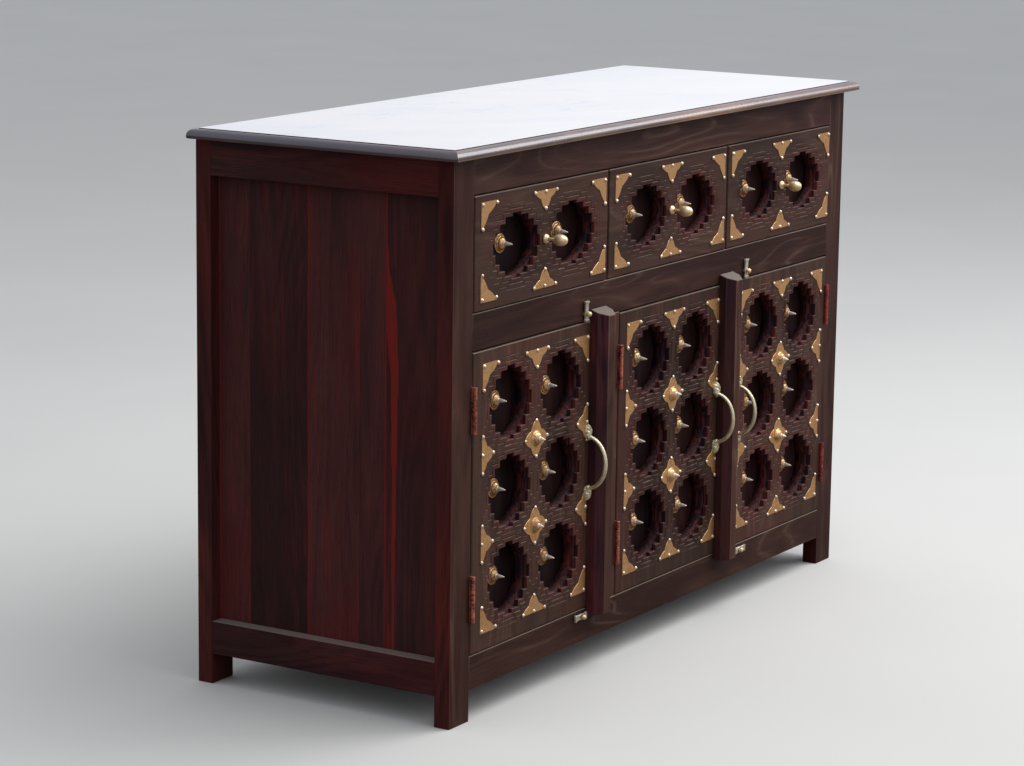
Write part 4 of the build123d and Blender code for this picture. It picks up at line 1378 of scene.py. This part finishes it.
hinge_steel = metal("stained_hinge", (204, 118, 94), (100, 35, 31), 1.0, 0.06, 0.2)
redder_steel = metal("redder_hinge", (186, 72, 64), (88, 27, 28), 1.0, 0.06, 0.2)
hinge_part("frame_hinge_leaves", (0, 1, 2), True, "carcass", "frame_hinges")
for number in range(3):
    door = f"door_{number + 1}"
    hinge_part(door + "_hinge_leaves", (number,), False, door, door + "_hinges")

# Drawer knobs ---------------------------------------------------------------------
# Turned brass knobs: a flat rosette, a thin neck and an egg-shaped head with a bead.

KNOB_ROSETTE = [(0.0, 0.0), (7.0, 0.0), (7.6, 0.9), (7.7, 2.0), (7.2, 3.5), (6.0, 4.8),
                (4.4, 5.6), (3.2, 6.2), (2.9, 8.0), (2.9, 12.0), (3.4, 14.8), (3.9, 15.2)]
KNOB_HEAD = (27.8, 13.0, 9.4)
KNOB_STEPS = 14


def knob_profile():
    """The rosette and neck, then an egg-shaped head."""
    middle, half, radius = KNOB_HEAD
    points = list(KNOB_ROSETTE)
    for step in range(1, KNOB_STEPS + 1):
        share = -1 + 2 * step / KNOB_STEPS
        width = radius * math.sqrt(max(0.0, 1 - share * share))
        points.append((width if share < 1 else 0.0, middle + half * share))
    return points


knob_brass = metal("knob_brass", (255, 228, 182), (206, 158, 108), 0.45, 0.05, 0.7)
for number, (x, z) in enumerate(DRAWER_CENTRES, start=1):
    drawer = f"drawer_{number}"
    bm = bmesh.new()
    add_turned(bm, knob_profile(), to_front(x, FRONT_Y, z), 32)
    keep_sharp(bm, 50)
    finish_piece(drawer + "_turned_knob", bm, [knob_brass], drawer, drawer + "_knob")

# Turn buttons ---------------------------------------------------------------------
# Cast buttons with a raised bar at each end and a narrow waist, which swivel on a screw with
# a small domed brass head and hold the doors shut.

BUTTONS = {
    "button_upper_left": ((-269.0, 597.0), 0.0, 12.2),
    "button_upper_right": ((284.0, 597.0), 0.0, 12.2),
    "button_lower_left": ((-269.0, 94.0), math.pi / 2, 15.0),
    "button_lower_right": ((284.0, 94.0), -math.pi / 2, 15.0),
}
BUTTON_LONG = 21.0
BUTTON_BACK = -223.15
BUTTON_CHAMFER = 0.7
PIVOT_BACK = -220.95
WASHER = ((0.0, 0.0), (4.2, 0.0), (4.4, 0.4), (4.4, 1.8), (4.0, 2.1), (0.0, 2.1))
SCREW_HEAD = ((0.0, 6.6), (4.3, 6.6), (4.5, 7.4), (4.4, 9.0), (3.8, 10.9), (2.4, 12.2),
              (0.0, 12.6))


def add_button(bm, short, long):
    """Sections along the arm: (place, half width, thickness), from the short end."""
    stations = [
        (-short, 5.4, 3.0), (-short + 0.5, 6.0, 3.8), (-short + 2.9, 6.0, 4.0),
        (-short + 3.6, 5.2, 2.8), (-4.5, 4.5, 2.6), (-2.0, 5.4, 3.0), (2.0, 5.4, 3.0),
        (4.5, 4.5, 2.6), (long - 3.6, 5.2, 2.8), (long - 2.9, 6.0, 4.0),
        (long - 0.5, 6.0, 3.8), (long, 5.4, 3.0),
    ]
    corner = BUTTON_CHAMFER
    rings = []
    for place, half, thick in stations:
        rings.append([
            (-half, 0, place), (half, 0, place), (half, -thick + corner, place),
            (half - corner, -thick, place), (-half + corner, -thick, place),
            (-half, -thick + corner, place),
        ])
    add_strip_of_rings(bm, rings)


button_metal = metal("button_metal", (232, 222, 200), (142, 128, 108), 0.75, 0.2, 0.7)
pivot_bm = bmesh.new()
for node, ((x, z), turn, short) in BUTTONS.items():
    bm = bmesh.new()
    add_button(bm, short, BUTTON_LONG)
    placing = Matrix.Translation((x, BUTTON_BACK, z)) @ Matrix.Rotation(-turn, 4, "Y")
    bmesh.ops.transform(bm, matrix=placing, verts=bm.verts)
    bmesh.ops.recalc_face_normals(bm, faces=bm.faces)
    keep_sharp(bm, 30)
    finish_piece(node + "_casting", bm, [button_metal], node + "_body", node)
    for profile in (WASHER, SCREW_HEAD):
        add_turned(pivot_bm, profile, to_front(x, PIVOT_BACK, z), 20)
keep_sharp(pivot_bm, 40)
finish_piece("pivot_screws", pivot_bm, [knob_brass], "carcass", "button_pivots")

# Floor, light and camera --------------------------------------------------------
# A plain pale floor, soft light from the sky and from two wide lamps, and a long lens.

FLOOR_HALF = 30000.0
CAMERA_SPOT = (-4.67099, -2.78585, 1.47065)
CAMERA_TURN = -1.02052721
CAMERA_DROP = 0.191750535
CAMERA_ROLL = 0.0134184584
CAMERA_LENS = 112.92
SENSOR_WIDTH = 36.0


def make_floor():
    """A wide floor that looks paler to the camera than it lights the cabinet from below."""
    bm = bmesh.new()
    bmesh.ops.create_grid(bm, x_segments=1, y_segments=1, size=FLOOR_HALF)
    material, tree, surface = new_material("floor_paint")
    patches = stretched_noise(tree, own_place(tree), (1, 1, 1), 1.5, 3.0)
    tone = mixed(tree, patches, seen(205, 204, 201), seen(213, 212, 209))
    direct = add_node(tree, "ShaderNodeLightPath").outputs["Is Camera Ray"]
    tone = mixed(tree, direct, seen(120, 112, 104), tone)
    tree.links.new(tone, surface.inputs["Base Color"])
    surface.inputs["Roughness"].default_value = 0.9
    floor = add_object("floor", mesh_in_metres("floor", bm))
    floor.data.materials.append(material)


def make_sky():
    """Even light from all round, which shiny surfaces mirror a little bluer."""
    world = bpy.data.worlds.new("studio")
    bpy.context.scene.world = world
    world.use_nodes = True
    tree = world.node_tree
    background = tree.nodes["Background"]
    shiny = add_node(tree, "ShaderNodeLightPath").outputs["Is Glossy Ray"]
    colour = mixed(tree, shiny, (0.93, 0.96, 1.0, 1.0), (0.95, 1.05, 1.35, 1.0))
    tree.links.new(colour, background.inputs["Color"])
    background.inputs["Strength"].default_value = 0.62


def add_lamp(name, position, target, size, power):
    """A wide soft lamp that is aimed at a target."""
    data = bpy.data.lights.new(name, "AREA")
    data.shape = "RECTANGLE"
    data.size, data.size_y = size
    data.energy = power
    lamp = add_object(name, data)
    lamp.location = position
    aim = Vector(target) - Vector(position)
    lamp.rotation_euler = aim.to_track_quat("-Z", "Y").to_euler()


def add_camera():
    """A camera that looks down a little, turned about its own axis by a slight roll."""
    data = bpy.data.cameras.new("camera")
    data.sensor_width = SENSOR_WIDTH
    data.lens = CAMERA_LENS
    camera = add_object("camera", data)
    right = Vector((math.cos(CAMERA_TURN), math.sin(CAMERA_TURN), 0))
    level = math.cos(CAMERA_DROP)
    ahead = Vector((
        -math.sin(CAMERA_TURN) * level, math.cos(CAMERA_TURN) * level, -math.sin(CAMERA_DROP)
    ))
    up = right.cross(ahead)
    leaned_right = math.cos(CAMERA_ROLL) * right + math.sin(CAMERA_ROLL) * up
    leaned_up = math.cos(CAMERA_ROLL) * up - math.sin(CAMERA_ROLL) * right
    view = Matrix((leaned_right, leaned_up, -ahead)).transposed().to_4x4()
    camera.matrix_world = Matrix.Translation(CAMERA_SPOT) @ view
    bpy.context.scene.camera = camera


make_floor()
make_sky()
add_lamp("overhead", (0.6, -1.2, 3.6), (0.0, 0.0, 0.6), (3.2, 2.4), 92.0)
add_lamp("right", (3.6, -3.0, 2.9), (0.0, 0.0, 0.6), (3.4, 2.6), 90.0)
add_camera()
bpy.context.scene.view_settings.view_transform = "Standard"
